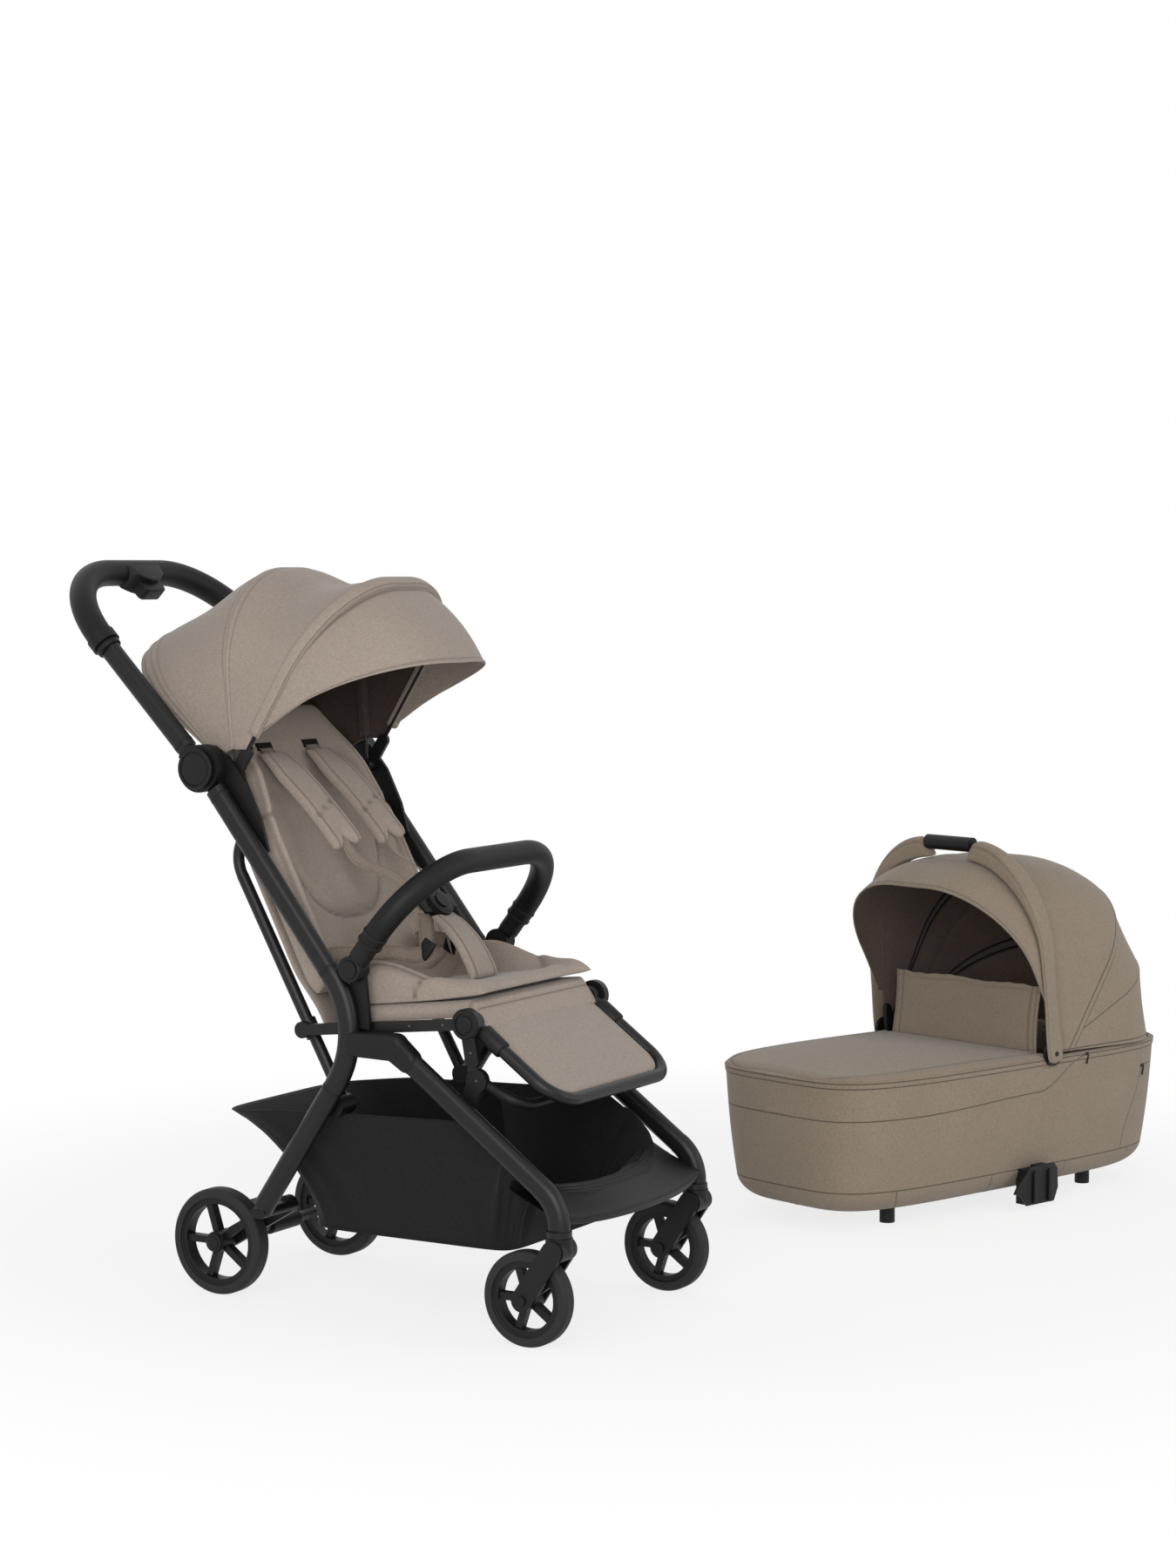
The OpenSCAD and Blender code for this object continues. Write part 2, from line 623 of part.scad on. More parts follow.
// Ribbed foot shelf between the front legs
shelf_t = 16;
shelf_depth = 76;
shelf_tilt = 24;
shelf_rise = 14;
shelf_front = [-stem_reach - stem_d / 4, stem_h + shelf_rise];
rib_count = 4;
rib_w = 6;
rib_h = 2.5;
shelf_bow = 170;
shelf_mid = 52;
shelf_bulge = 22;
arc_steps = 240;
module footrest() color(black) placed() difference() {
  translate([0, shelf_front.x, shelf_front.y]) rotate([shelf_tilt, 0, 0]) {
    half = frame_half - tube_w / 4;
    front_r = (half * half + shelf_bulge * shelf_bulge) / (2 * shelf_bulge);
    linear_extrude(shelf_t) difference() {
      intersection() {
        translate([-half, -shelf_bulge]) square([2 * half, shelf_depth + shelf_bulge]);
        translate([0, front_r - shelf_bulge]) circle(r = front_r, $fn = arc_steps);
      }
      translate([0, shelf_mid + shelf_bow]) circle(r = shelf_bow, $fn = arc_steps);
    }
    for (i = [0 : rib_count - 1]) translate([0, 0, shelf_t]) linear_extrude(rib_h) intersection() {
      translate([-half * 5 / 8, 0]) square([half * 5 / 4, shelf_depth - rib_w]);
      translate([0, shelf_mid + shelf_bow]) difference() {
        circle(r = shelf_bow + rib_w * (2 * i + 2), $fn = arc_steps);
        circle(r = shelf_bow + rib_w * (2 * i + 1), $fn = arc_steps);
      }
    }
  }
  both() front_leg_space();
}
module front_leg_space() {
  run(-frame_half, fold + front_dir * leg_from, stem - front_dir * stem_tangent, tube_w + fit, tube_d + fit);
  stem_bend(fit);
  translate([-frame_half, stem.x, 0]) cylinder(h = stem_h + stem_collar_h + fit, d = stem_d + fit);
  run(-frame_half, stem - [0, stem_tangent], [stem.x, 0], tube_w + fit, tube_d + fit);
}

// Props on the front legs that the seat links rest over, with the hoop between them
prop_hub = [-438, 340];
prop_hub_d = 32;
prop_inset = 23;
prop_x = frame_half - prop_inset;
prop_t = 10;
prop_bar_d = 14;
prop_bar_reach = 66;
prop_bar_drop = 30;
module seat_props() color(dark) placed() {
  prop_foot = fold + front_dir * (fold.x - prop_hub.x - prop_hub_d / 2) / cos(front_angle);
  both() {
    side(-prop_x, prop_t) strip(prop_hub, prop_foot, prop_hub_d * 3 / 4);
    side(-prop_x, prop_t) circle_at(prop_hub, prop_hub_d);
    pin(-frame_half + tube_w / 2, -prop_x, prop_foot, prop_hub_d / 2);
  }
  tilt(prop_hub, 180 + atan2(prop_bar_drop, prop_bar_reach)) u_bar(prop_x - prop_t / 2 + fit,
    norm([prop_bar_reach, prop_bar_drop]), prop_bar_reach / 2, prop_bar_d);
}

// Swivelling fork of a front wheel, with its stem and axle bolt
fork_top = stem_h - gap;
fork_blade_t = 6;
fork_clear = 3;
fork_in = front_wheel_w / 2 + fork_clear;
fork_d = 30;
crown_h = 36;
crown_drop = 2;
bolt_head_d = 14;
bolt_head_t = 3;
module caster_fork(s) color(black) placed() translate([s * frame_half, 0, 0]) {
  crown = [-stem_reach, fork_top - fork_d / 2 - crown_drop];
  difference() {
    union() {
      for (m = [-1, 1]) side(m * (fork_in + fork_blade_t / 2), fork_blade_t)
        strip(crown, front_hub, fork_d);
      translate([0, -stem_reach, fork_top - crown_h / 2])
        cylinder(h = crown_h / 2, d = 2 * fork_in + fork_blade_t);
      side(0, 2 * fork_in + fork_blade_t) strip(crown - [crown_drop, 0], crown, fork_d);
    }
    pin(-2 * fork_in, 2 * fork_in, front_hub, axle_d);
    pin(-fork_in, fork_in, front_hub, front_wheel_d + 2 * fork_clear);
  }
  translate([0, -stem_reach, fork_top]) cylinder(h = stem_pin_len, d = stem_pin_d);
  pin(-fork_in - fork_blade_t, fork_in + fork_blade_t, front_hub, axle_d);
  for (m = [-1, 1]) translate([m * (fork_in + fork_blade_t + bolt_head_t / 2), 0, 0])
    pin(-bolt_head_t / 2, bolt_head_t / 2, front_hub, bolt_head_d);
}
module caster_fork_right() caster_fork(-1);
module caster_fork_left() caster_fork(1);

// Wheels: spoked rims and their tyres
rim_t = 9;
hub_d = 30;
spoke_w = 10;
module rim(x, at, d, w, hub) color(dark) placed() translate([x, at.x, at.y]) rotate([0, 90, 0]) {
  r = d / 2 - tyre_t - fit;
  difference() {
    union() {
      rotate_extrude() translate([r - rim_t, -w * 3 / 8]) square([rim_t, w * 3 / 4]);
      cylinder(h = hub, d = hub_d, center = true);
      for (i = [0 : spokes - 1]) rotate(i * 360 / spokes + 90)
        translate([hub_d / 4, -spoke_w / 2, -w / 4]) cube([r - rim_t / 2 - hub_d / 4, spoke_w, w / 2]);
    }
    cylinder(h = 2 * hub, d = axle_d + 2 * fit, center = true);
  }
}
shoulder_share = 0.3;
tread_share = 0.45;
module tyre(x, at, d, w) color(dark) placed() translate([x, at.x, at.y]) rotate([0, 90, 0])
  rotate_extrude() {
  round_r = min(w * shoulder_share, tyre_t * tread_share);
  translate([d / 2 - tyre_t, -w / 2]) square([tyre_t - round_r, w]);
  translate([d / 2 - round_r, round_r - w / 2]) square([round_r, w - 2 * round_r]);
  for (s = [-1, 1]) translate([d / 2 - round_r, s * (w / 2 - round_r)]) circle(r = round_r);
}
front_hub_w = 2 * fork_in - 2 * gap;
module front_rim_right() rim(-frame_half, front_hub, front_wheel_d, front_wheel_w, front_hub_w);
module front_rim_left() rim(frame_half, front_hub, front_wheel_d, front_wheel_w, front_hub_w);
module front_tyre_right() tyre(-frame_half, front_hub, front_wheel_d, front_wheel_w);
module front_tyre_left() tyre(frame_half, front_hub, front_wheel_d, front_wheel_w);
module rear_rim_right() rim(-rear_track / 2, [0, axle_h], rear_wheel_d, rear_wheel_w, hub_w);
module rear_rim_left() rim(rear_track / 2, [0, axle_h], rear_wheel_d, rear_wheel_w, hub_w);
module rear_tyre_right() tyre(-rear_track / 2, [0, axle_h], rear_wheel_d, rear_wheel_w);
module rear_tyre_left() tyre(rear_track / 2, [0, axle_h], rear_wheel_d, rear_wheel_w);

// Side bars of the seat, with the knuckles of the leg rest
module seat_bars() color(black) placed() both() {
  difference() {
    union() {
      side(-seat_bar_x, seat_bar_w) strip(seat_pivot, rest_knuckle, seat_bar_d);
      side(-seat_bar_x, seat_bar_w) circle_at(seat_pivot, sleeve_d);
      pin(-seat_bar_x - seat_bar_w / 2, -seat_bar_x + seat_bar_w / 2, rest_knuckle, rest_knuckle_d);
    }
    pin(-frame_half, 0, seat_pivot, pivot_pin_d + 2 * fit);
  }
  pin(-seat_bar_x + seat_bar_w / 2 - overrun, -seat_bar_x + seat_bar_w / 2 + rest_knuckle_w / 2,
    rest_knuckle, pivot_pin_d);
}

// Seat cushion with raised sides and front lip, over the cloth sling between the bars
seat_set = 72;
seat_rear = seat_pivot.x - seat_set;
sling_t = 8;
sling_h = 14;
cushion_t = 26;
lip_h = 22;
crown_rise = 9;
cushion_edge = 1;
tuck_share = 0.03;
seat_steps = 12;
function bar_h(y) = seat_bar_d / 2
  + mix(seat_pivot.y, rest_knuckle.y, (y - seat_pivot.x) / (rest_knuckle.x - seat_pivot.x));
function seat_grid(f) = [for (i = [0 : seat_steps]) [for (j = [0 : seat_steps],
    u = i / seat_steps, v = 2 * j / seat_steps - 1) f(u, v)]];
function seat_point(u, v, h) = let (y = seat_rear - seat_depth * u,
    tuck = 1 - tuck_share * pow(sin(180 * u), 2))
  [v * seat_half * tuck, y, bar_h(y) + h];
function cushion_rise(u, v) = sling_h + sling_t + gap + cushion_t * pow(max(0, 1 - pow(abs(v), 12)), 0.4)
  * pow(max(0, 1 - pow(abs(2 * u - 1), 14)), 0.4) + crown_rise * cos(90 * v) * sin(180 * u)
  + lip_h * pow(abs(v), 5) * (1 - pow(abs(v), 14)) * (1 - 0.7 * u) + lip_h / 2 * pow(u, 6) * (1 - pow(u, 14));
module seat_cushion() color(taupe) placed() {
  slab(seat_grid(function (u, v) seat_point(u, v, cushion_rise(u, v) + cushion_edge)),
    seat_grid(function (u, v) seat_point(u, v, sling_h + sling_t + gap)));
  half = seat_bar_x - seat_bar_w / 2 - gap;
  hull() for (at = [seat_rear, seat_rear - seat_depth])
    translate([-half, at, bar_h(at) + sling_h]) cube([2 * half, overrun, sling_t]);
  both() hull() for (at = [seat_rear, rest_knuckle.x + rest_knuckle_d / 2 + gap])
    translate([-half, at, bar_h(at) - seat_bar_d / 2]) cube([cloth_t, overrun, sling_h + seat_bar_d]);
}

// Plates under the leg rest knuckles; they end over the hubs of the props
plate_t = 8;
plate_d = 20;
plate_v = (rest_knuckle - prop_hub) / norm(rest_knuckle - prop_hub);
plate_end = prop_hub + plate_v * (prop_hub_d / 2 + plate_d / 2 + 2 * gap);
module link_plates() color(dark) placed() both() difference() {
  side(-seat_bar_x, plate_t) strip(rest_knuckle, plate_end, plate_d);
  pin(-frame_half, 0, rest_knuckle, rest_knuckle_d + gap);
}

// Crotch strap and the harness buckle on it, with its push button
crotch_w = 56;
crotch_t = 9;
crotch_from = 13;
crotch_foot = [-335, 466];
buckle_at = [-266, 548];
buckle_d = 44;
buckle_t = 17;
buckle_button_d = 22;
buckle_travel = 2.5;
crotch_v = buckle_at - crotch_foot;
crotch_angle = atan2(crotch_v.y, crotch_v.x);
module on_crotch() tilt(crotch_foot, crotch_angle) children();
module crotch_strap() color(taupe) placed() on_crotch() translate([0, 0, -crotch_t / 2])
  linear_extrude(crotch_t)
  difference() {
    translate([-crotch_w / 2, crotch_from]) square([crotch_w, norm(crotch_v) - buckle_d / 4 - crotch_from]);
    translate([0, norm(crotch_v)]) circle(d = buckle_d + gap);
  }
module buckle() color(dark) placed() on_crotch() translate([0, norm(crotch_v), -crotch_t / 2]) difference() {
  cylinder(h = buckle_t, d = buckle_d);
  translate([0, 0, buckle_t / 2]) cylinder(h = buckle_t, d = buckle_button_d + 2 * fit);
}
module buckle_button() color(dark) placed() on_crotch()
  translate([0, norm(crotch_v), -crotch_t / 2 + buckle_t / 2 + buckle_travel + gap])
  cylinder(h = buckle_t / 2, d = buckle_button_d);

// Leg rest: a bent tube with a padded panel in it
rest_d = 18;
rest_half = seat_bar_x - seat_bar_w / 2 - gap - rest_d / 2;
rest_r = 46;
rest_dir = [-cos(rest_angle), -sin(rest_angle)];
module in_rest() tilt(rest_knuckle, 180 + rest_angle) children();
module leg_rest_frame() color(black) placed() difference() {
  union() {
    in_rest() u_bar(rest_half, rest_len, rest_r, rest_d);
    both() pin(-rest_half - rest_d / 3, -rest_half + rest_d / 3, rest_knuckle, rest_knuckle_d * 2 / 3);
  }
  both() pin(-frame_half, -rest_half + rest_d, rest_knuckle, pivot_pin_d + 2 * fit);
}
panel_t = 9;
panel_crown = 6;
panel_from = 12;
panel_steps = 8;
function panel_point(u, v, h) = let (half = rest_half - rest_d / 2 - gap,
    r = rest_r - rest_d / 2, y = mix(panel_from, rest_len - rest_d / 2 - gap, u),
    into = max(0, y - (rest_len - rest_d / 2 - r)), cut = r - sqrt(max(0, r * r - into * into)))
  [v * (half - cut), y, h];
module leg_rest_panel() color(taupe) placed() in_rest() slab(
  [for (i = [0 : panel_steps]) [for (j = [0 : panel_steps], u = i / panel_steps, v = 2 * j / panel_steps - 1)
    panel_point(u, v, -panel_t / 2 - panel_crown * (1 - v * v) * sin(180 * u))]],
  [for (i = [0 : panel_steps]) [for (j = [0 : panel_steps], u = i / panel_steps, v = 2 * j / panel_steps - 1)
    panel_point(u, v, panel_t / 2)]]);

// Backrest: a stiff board hung on the seat pivots, its padded liner, shoulder pads and straps
ear_t = 9;
board_t = 6;
board_off = 14;
board_from = 20;
board_r = 40;
module in_back() tilt(seat_pivot, back_angle) children();
module backrest_shell() color(taupe_dark) placed() difference() {
  union() {
    in_back() translate([0, 0, board_off]) linear_extrude(board_t) {
      translate([-back_half, board_from]) square([2 * back_half, back_len - board_from - board_r]);
      translate([board_r - back_half, back_len - 2 * board_r])
        square([2 * (back_half - board_r), 2 * board_r]);
      for (s = [-1, 1]) translate([s * (back_half - board_r), back_len - board_r]) circle(r = board_r);
    }
    both() in_back() translate([-back_half, 0, 0]) {
      translate([0, -ear_t, -ear_t]) cube([ear_t, board_from + 2 * ear_t, board_off + board_t + ear_t]);
    }
  }
  both() pin(-frame_half, -back_half + 2 * ear_t, seat_pivot, pivot_pin_d + 2 * fit);
}
liner_t = 22;
liner_from = 74;
liner_steps = 14;
liner_rows = 16;
wing_h = 42;
wing_from_share = 0.2;
channel_depth = 7;
channel_at_share = 0.55;
liner_edge = 2;
liner_short = 4;
waist_share = 0.02;
function liner_rise(u, v) = let (
    edge = sqrt(max(0, 1 - pow(abs(v), 16)) * max(0, 1 - pow(abs(2 * u - 1), 16))),
    wing = wing_h * pow(abs(v), 6) * min(1, u / wing_from_share) * min(1, (1 - u) / wing_from_share),
    seam = channel_depth * exp(-pow((norm([2 * v, 5 * (u - channel_at_share)]) - 1.25) * 6, 2)))
  liner_edge + edge * (liner_t - seam + wing);
function liner_point(u, v, h) = [v * (back_half - gap) * (1 - waist_share * sin(180 * u)),
  mix(liner_from, back_len - liner_short, u), board_off + board_t + gap + h];
function liner_grid(f) = [for (i = [liner_rows : -1 : 0]) [for (j = [0 : liner_steps],
    u = i / liner_rows, v = 2 * j / liner_steps - 1) f(u, v)]];
module backrest_liner() color(taupe) placed() in_back() slab(
  liner_grid(function (u, v) liner_point(u, v, liner_rise(u, v))),
  liner_grid(function (u, v) liner_point(u, v, 0)));
pad_inset = 82;
pad_x = back_half - pad_inset;
pad_w = 44;
pad_t = 13;
pad_from = 232;
pad_to = 388;
pad_lift = 2;
pad_lean = 20;
liner_top = board_off + board_t + gap + liner_edge + liner_t + pad_lift;
pad_len = pad_to - pad_from;
module shoulder_pads() color(taupe) placed() in_back() for (s = [-1, 1])
  translate([s * pad_x, pad_to, liner_top]) rotate([-pad_lean, 0, 0]) linear_extrude(pad_t) {
    translate([-pad_w / 2, -pad_len]) square([pad_w, pad_len]);
    translate([0, -pad_len]) circle(d = pad_w);
  }
strap_w = 25;
strap_t = 2;
strap_rise = 4;
waist_off = 24;
function from_back(p) = let (c = cos(back_angle), s = sin(back_angle))
  [p.x, seat_pivot.x + p.y * c - p.z * s, seat_pivot.y + p.y * s + p.z * c];
module harness_straps() color(taupe_dark) placed() both() {
  end = [-buckle_d / 2 - strap_w / 2 - gap, buckle_at.x, buckle_at.y + strap_rise];
  pad_end = pad_len + pad_w / 2 + strap_t;
  chest = from_back([-pad_x, pad_to - pad_end * cos(pad_lean), liner_top + pad_end * sin(pad_lean)]);
  waist = from_back([-back_half + strap_w, liner_from + strap_w, liner_top + waist_off]);
  strap(chest, end, strap_w, strap_t);
  strap(waist, end, strap_w, strap_t);
}

// Handle: tube, foam grip, upper halves of its hinges, housing and squeeze trigger
grip_core_d = 24;
module in_handle() tilt(disc, handle_angle) children();
module handle_tube() color(black) placed() {
  both() run(-frame_half, disc + hinge_gap_r * handle_dir, disc + (grip_from + gap) * handle_dir,
    tube_w, tube_d);
  in_handle() u_bar(frame_half, handle_len, handle_r, grip_core_d, grip_from);
}
collar_len = 16;
collar_more = 2;
collar_d = grip_d + 2 * collar_more;
module handle_grip() color(dark) placed() in_handle() difference() {
  union() {
    u_bar(frame_half, handle_len, handle_r, grip_d, grip_from);
    for (s = [-1, 1]) translate([s * frame_half, grip_from, 0]) rotate([-90, 0, 0])
      cylinder(h = collar_len, d = collar_d);
  }
  u_bar(frame_half, handle_len, handle_r, grip_core_d, grip_from - overrun);
  for (s = [-1, 1]) translate([s * frame_half, grip_from - overrun, 0]) rotate([-90, 0, 0])
    linear_extrude(overrun + gap + fit) oval(tube_w + fit, tube_d + fit);
}
hinge_cap_d = 44;
hinge_cap_t = 6;
upper_x = frame_half + tube_w / 2 - housing_t / 2;
module handle_hinges() color(dark) placed() both() {
  difference() {
    hinge_half(-upper_x, handle_dir);
    pin(-frame_half - tube_w, 0, disc, hinge_pin_d + 2 * fit);
  }
  pin(-upper_x - housing_t / 2 - hinge_cap_t, -upper_x - housing_t / 2, disc, hinge_cap_d);
}
trigger_w = 66;
trigger_h = 24;
trigger_depth = 26;
lever_w = 44;
lever_d = 16;
lever_len = 18;
lever_in = 8;
lever_travel = 6;
housing_lap = 10;
housing_top = handle_len - grip_d / 2 + housing_lap;
module trigger_housing() color(dark) placed() in_handle() difference() {
  translate([0, 0, -trigger_h / 2]) linear_extrude(trigger_h) polygon([
    [-trigger_w / 2, housing_top], [trigger_w / 2, housing_top],
    [trigger_w * 3 / 8, housing_top - trigger_depth], [-trigger_w * 3 / 8, housing_top - trigger_depth]]);
  u_bar(frame_half, handle_len, handle_r, grip_d + fit, grip_from);
  translate([0, housing_top - trigger_depth + lever_in / 2 + lever_travel / 2, 0])
    cube([lever_w + 2 * gap, lever_in + lever_travel + 2 * (gap + overrun), lever_d + 2 * gap],
      center = true);
}
module fold_trigger() color(black) placed() in_handle()
  translate([-lever_w / 2, housing_top - trigger_depth + lever_in - lever_len, -lever_d / 2])
    cube([lever_w, lever_len, lever_d]);

// Bumper bar: a bent tube with end hubs, its cover and its two release buttons
bumper_r = 118;
bumper_core_d = 22;
cover_from = 44;
in_bumper_angle = 180 - bumper_angle;
bumper_dir = [cos(in_bumper_angle), sin(in_bumper_angle)];
bumper_neck_d = 30;
bumper_neck_h = 24;
arm_from = bumper_hub_d / 2 + 2 * gap;
module in_bumper() tilt(bumper_pivot, in_bumper_angle) children();
module bumper_bar() color(dark) placed() {
  both() difference() {
    union() {
      pin(-bumper_x - bumper_hub_w / 2, -bumper_x + bumper_hub_w / 2, bumper_pivot, bumper_hub_d);
      side(-bumper_x, bumper_hub_w)
        strip(bumper_pivot, bumper_pivot + cover_from / 2 * bumper_dir, bumper_neck_h);
      in_bumper() translate([-bumper_x, arm_from, 0]) rotate([-90, 0, 0])
        cylinder(h = cover_from - arm_from, d = bumper_neck_d);
    }
    pin(-bumper_x - bumper_hub_w, -socket_in - socket_t + overrun, bumper_pivot, bumper_pin_d + 2 * fit);
    pin(-bumper_x - bumper_hub_w, -bumper_x - bumper_hub_w / 2 + button_t, bumper_pivot, button_d + 2 * fit);
  }
  in_bumper() u_bar(bumper_x, bumper_len, bumper_r, bumper_core_d, cover_from);
}
module bumper_cover() color(dark) placed() in_bumper() difference() {
  u_bar(bumper_x, bumper_len, bumper_r, bumper_d, cover_from + fit);
  u_bar(bumper_x, bumper_len, bumper_r, bumper_core_d + fit, cover_from - overrun);
}
module bumper_button(s) color(dark) placed()
  translate([s * (bumper_x + bumper_hub_w / 2 - button_t + button_travel + gap), 0, 0])
  scale([s, 1, 1]) pin(0, button_t - gap, bumper_pivot, button_d);
module bumper_button_right() bumper_button(-1);
module bumper_button_left() bumper_button(1);

// Carrycot tub: a padded, flared tray. Its length runs along x, the head end at +x
tub_h = cot_rim_h - cot_foot_h;
tub_taper = 20;
tub_round = 34;
cot_power = 0.45;
function tub_ring(t, in) = box_ring(cot_len / 2 - tub_taper * (1 - t) - in,
  cot_w / 2 - tub_taper * (1 - t) - in,
  cot_foot_h + tub_h * t, 0, cot_power);
function tub_floor(s, z, in) = [for (p = tub_ring(0, in)) [p.x * s, p.y * s, z]];
tub_shares = [0.25, 0.6, 1];
floor_shares = [0.02, 0.5, 1];
round_angles = [30, 60, 90];
function round_rings(in, up) = [for (q = round_angles)
  [for (p = tub_ring(0, in + tub_round * (1 - sin(q))))
    [p.x, p.y, cot_foot_h + up + tub_round * (1 - cos(q))]]];
function turned(list) = [for (i = [len(list) - 1 : -1 : 0]) list[i]];
module cot_tub() color(taupe_dark) cot_placed() loft(concat(
  [for (s = floor_shares) tub_floor(s, cot_foot_h, tub_round)], round_rings(0, 0),
  [for (t = tub_shares) tub_ring(t, 0)],
  [for (t = turned(tub_shares)) tub_ring(t, cot_wall)],
  turned(round_rings(cot_wall, cot_wall)),
  [for (s = turned(floor_shares)) tub_floor(s, cot_foot_h + cot_wall, cot_wall + tub_round)]));
mattress_t = 34;
// Each ring of the mattress: its scale, how far it is drawn in and its height
mattress_shares = [[0.02, 1, 0], [1, 1, 0], [1, 0.5, 0.2], [1, 0.34, 0.5], [1, 0.4, 0.8], [1, 0.9, 1],
  [0.5, 0.9, 1.13], [0.02, 0.9, 1.2]];
module cot_mattress() color(taupe) cot_placed() loft([for (p = mattress_shares)
  [for (q = tub_ring(0, cot_wall + gap + tub_round * p[1]))
    [q.x * p[0], q.y * p[0], cot_foot_h + cot_wall + gap + mattress_t * p[2]]]]);

// Zipped apron over the foot half and the wind flap that stands at its edge
apron_to = 40;
apron_t = 5;
apron_crown = 14;
apron_inset = 2;
apron_tip = 4;
apron_steps = 14;
function rim_half(x) = cot_w / 2 * pow(max(0, 1 - pow(abs(x) / (cot_len / 2), 2 / cot_power)), cot_power / 2);
function apron_grid(h, crown) = [for (i = [0 : apron_steps]) [for (j = [0 : apron_steps],
    u = 1 - i / apron_steps, v = 1 - 2 * j / apron_steps,
    x = mix(apron_inset - cot_len / 2, apron_to, 1 - pow(1 - u, 2)))
  [x, v * max(apron_tip, rim_half(x)), cot_rim_h + gap + h + crown * (1 - v * v) * pow(sin(180 * u), 2)]]];
module cot_apron() color(taupe_dark) cot_placed() slab(apron_grid(apron_t, apron_crown), apron_grid(0, 0));
flap_w = 312;
flap_h = 104;
flap_t = 7;
flap_hinge = [apron_to + flap_t / 2 + gap / 4, cot_rim_h + gap + apron_t + flap_t * 3 / 8];
flap_lean = 6;
module cot_wind_flap() color(taupe_dark) cot_placed() translate([flap_hinge.x, 0, flap_hinge.y])
  rotate([0, flap_lean, 0]) {
  translate([-flap_t / 2, -flap_w / 2, 0]) cube([flap_t, flap_w, flap_h]);
  rotate([90, 0, 0]) cylinder(h = flap_w, d = flap_t, center = true);
}

// Hood hinge mounts and the clip mouldings that lock the carrycot on a chassis
hood_reach = 52;
hood_rise = 7;
hood_at = [hood_reach, cot_rim_h + hood_rise];
hood_pin_d = 8;
mount_in = cot_w / 2 + seat_gap;
mount_t = 5;
mount_d = 40;
hood_eye_t = 6;
clip_w = 58;
clip_h = 56;
clip_t = 26;
clip_at = [20, 8];
release_w = 26;
release_h = 20;
release_t = 10;
release_travel = 6;
module cot_pair() {
  children();
  mirror([0, 1, 0]) children();
}
module across(x, z, y0, y1, d) translate([x, y0, z]) rotate([-90, 0, 0]) cylinder(h = y1 - y0, d = d);
clip_top = clip_at.y + clip_h;
clip_in = cot_w / 2 - tub_taper + seat_gap + tub_taper * tub_shares[0]
  * max(0, (clip_top - cot_foot_h - tub_round) / (tub_h * tub_shares[0] - tub_round));
module cot_fittings() color(dark) cot_placed() cot_pair() {
  across(hood_at.x, hood_at.y, mount_in, mount_in + mount_t, mount_d);
  across(hood_at.x, hood_at.y, mount_in, mount_in + mount_t + hood_eye_t + gap, hood_pin_d);
  difference() {
    translate([clip_at.x - clip_w / 2, clip_in, clip_at.y]) cube([clip_w, clip_t, clip_h]);
    translate([clip_at.x, clip_in + clip_t, clip_top])
      cube([release_w + 2 * gap, 2 * release_t + 2 * gap, 2 * release_h], center = true);
  }
}
module cot_release() color(black) cot_placed() cot_pair()
  translate([clip_at.x - release_w / 2, clip_in + clip_t - release_t,
    clip_top - release_h + release_travel + 2 * gap])
    cube([release_w, release_t, release_h]);
foot_d = 24;
foot_reach_share = 0.6;
foot_half_share = 0.52;
module cot_feet() color(dark) cot_placed() for (sx = [-1, 1], sy = [-1, 1])
  translate([sx * cot_len / 2 * foot_reach_share, sy * cot_w / 2 * foot_half_share, 0])
    cylinder(h = cot_foot_h, d = foot_d);

// Hood: rear cover, carry arch with its grip, and visor
arch_from_angle = 91;
arch_to_angle = 104;
arch_t = 12;
arch_foot_share = 0.015;
hood_half = mount_in + mount_t + gap + hood_eye_t / 2;
hood_r = 150;
hood_inset = 2;
hood_rear_len = cot_len / 2 - hood_at.x - hood_inset;
cover_end_angle = -asin((hood_rise - seat_gap) / hood_rear_len);
hood_foot_share = 0.05;
hood_visor_share = 0.14;
visor_part_angle = 0.08;
hood_steps = 9;
function in_hood(p, angle) = [hood_at.x + p.y * cos(angle), p.x, hood_at.y + p.y * sin(angle)];
function hood_row(angle, half, len, from_share) = [for (j = [0 : hoop_steps],
    s = mix(from_share, 1 - from_share, j / hoop_steps))
  in_hood(hoop_point(s, half, len, hood_r), angle)];
hood_dip = 22;
hood_dip_angle = 50;
hood_dip_span_angle = 42;
function hood_len(angle) = mix(hood_rear_len, cot_arch_len - hood_dip,
  max(0, angle - hood_dip_angle) / hood_dip_span_angle);
module cot_hood_cover() color(taupe_dark) cot_placed() {
  angles = [for (i = [0 : hood_steps]) mix(arch_from_angle - 1.5, cover_end_angle, i / hood_steps)];
  half = mount_in - gap;
  slab([for (a = angles) hood_row(a, half, hood_len(a) - gap, hood_foot_share)],
    [for (a = angles) hood_row(a, half - cloth_t, hood_len(a) - gap - cloth_t, hood_foot_share)]);
}
module cot_hood_arch() color(taupe_dark) cot_placed() {
  angles = [for (i = [0 : 2]) mix(arch_to_angle, arch_from_angle, i / 2)];
  slab([for (a = angles) hood_row(a, hood_half + hood_eye_t / 2, cot_arch_len, arch_foot_share)],
    [for (a = angles) hood_row(a, hood_half - hood_eye_t / 2, cot_arch_len - arch_t, arch_foot_share)]);
  cot_pair() difference() {
    union() {
      across(hood_at.x, hood_at.y, hood_half - hood_eye_t / 2, hood_half + hood_eye_t / 2, mount_d);
    }
    across(hood_at.x, hood_at.y, 0, cot_w, hood_pin_d + 2 * fit);
  }
}
hood_visor_angle = 13;
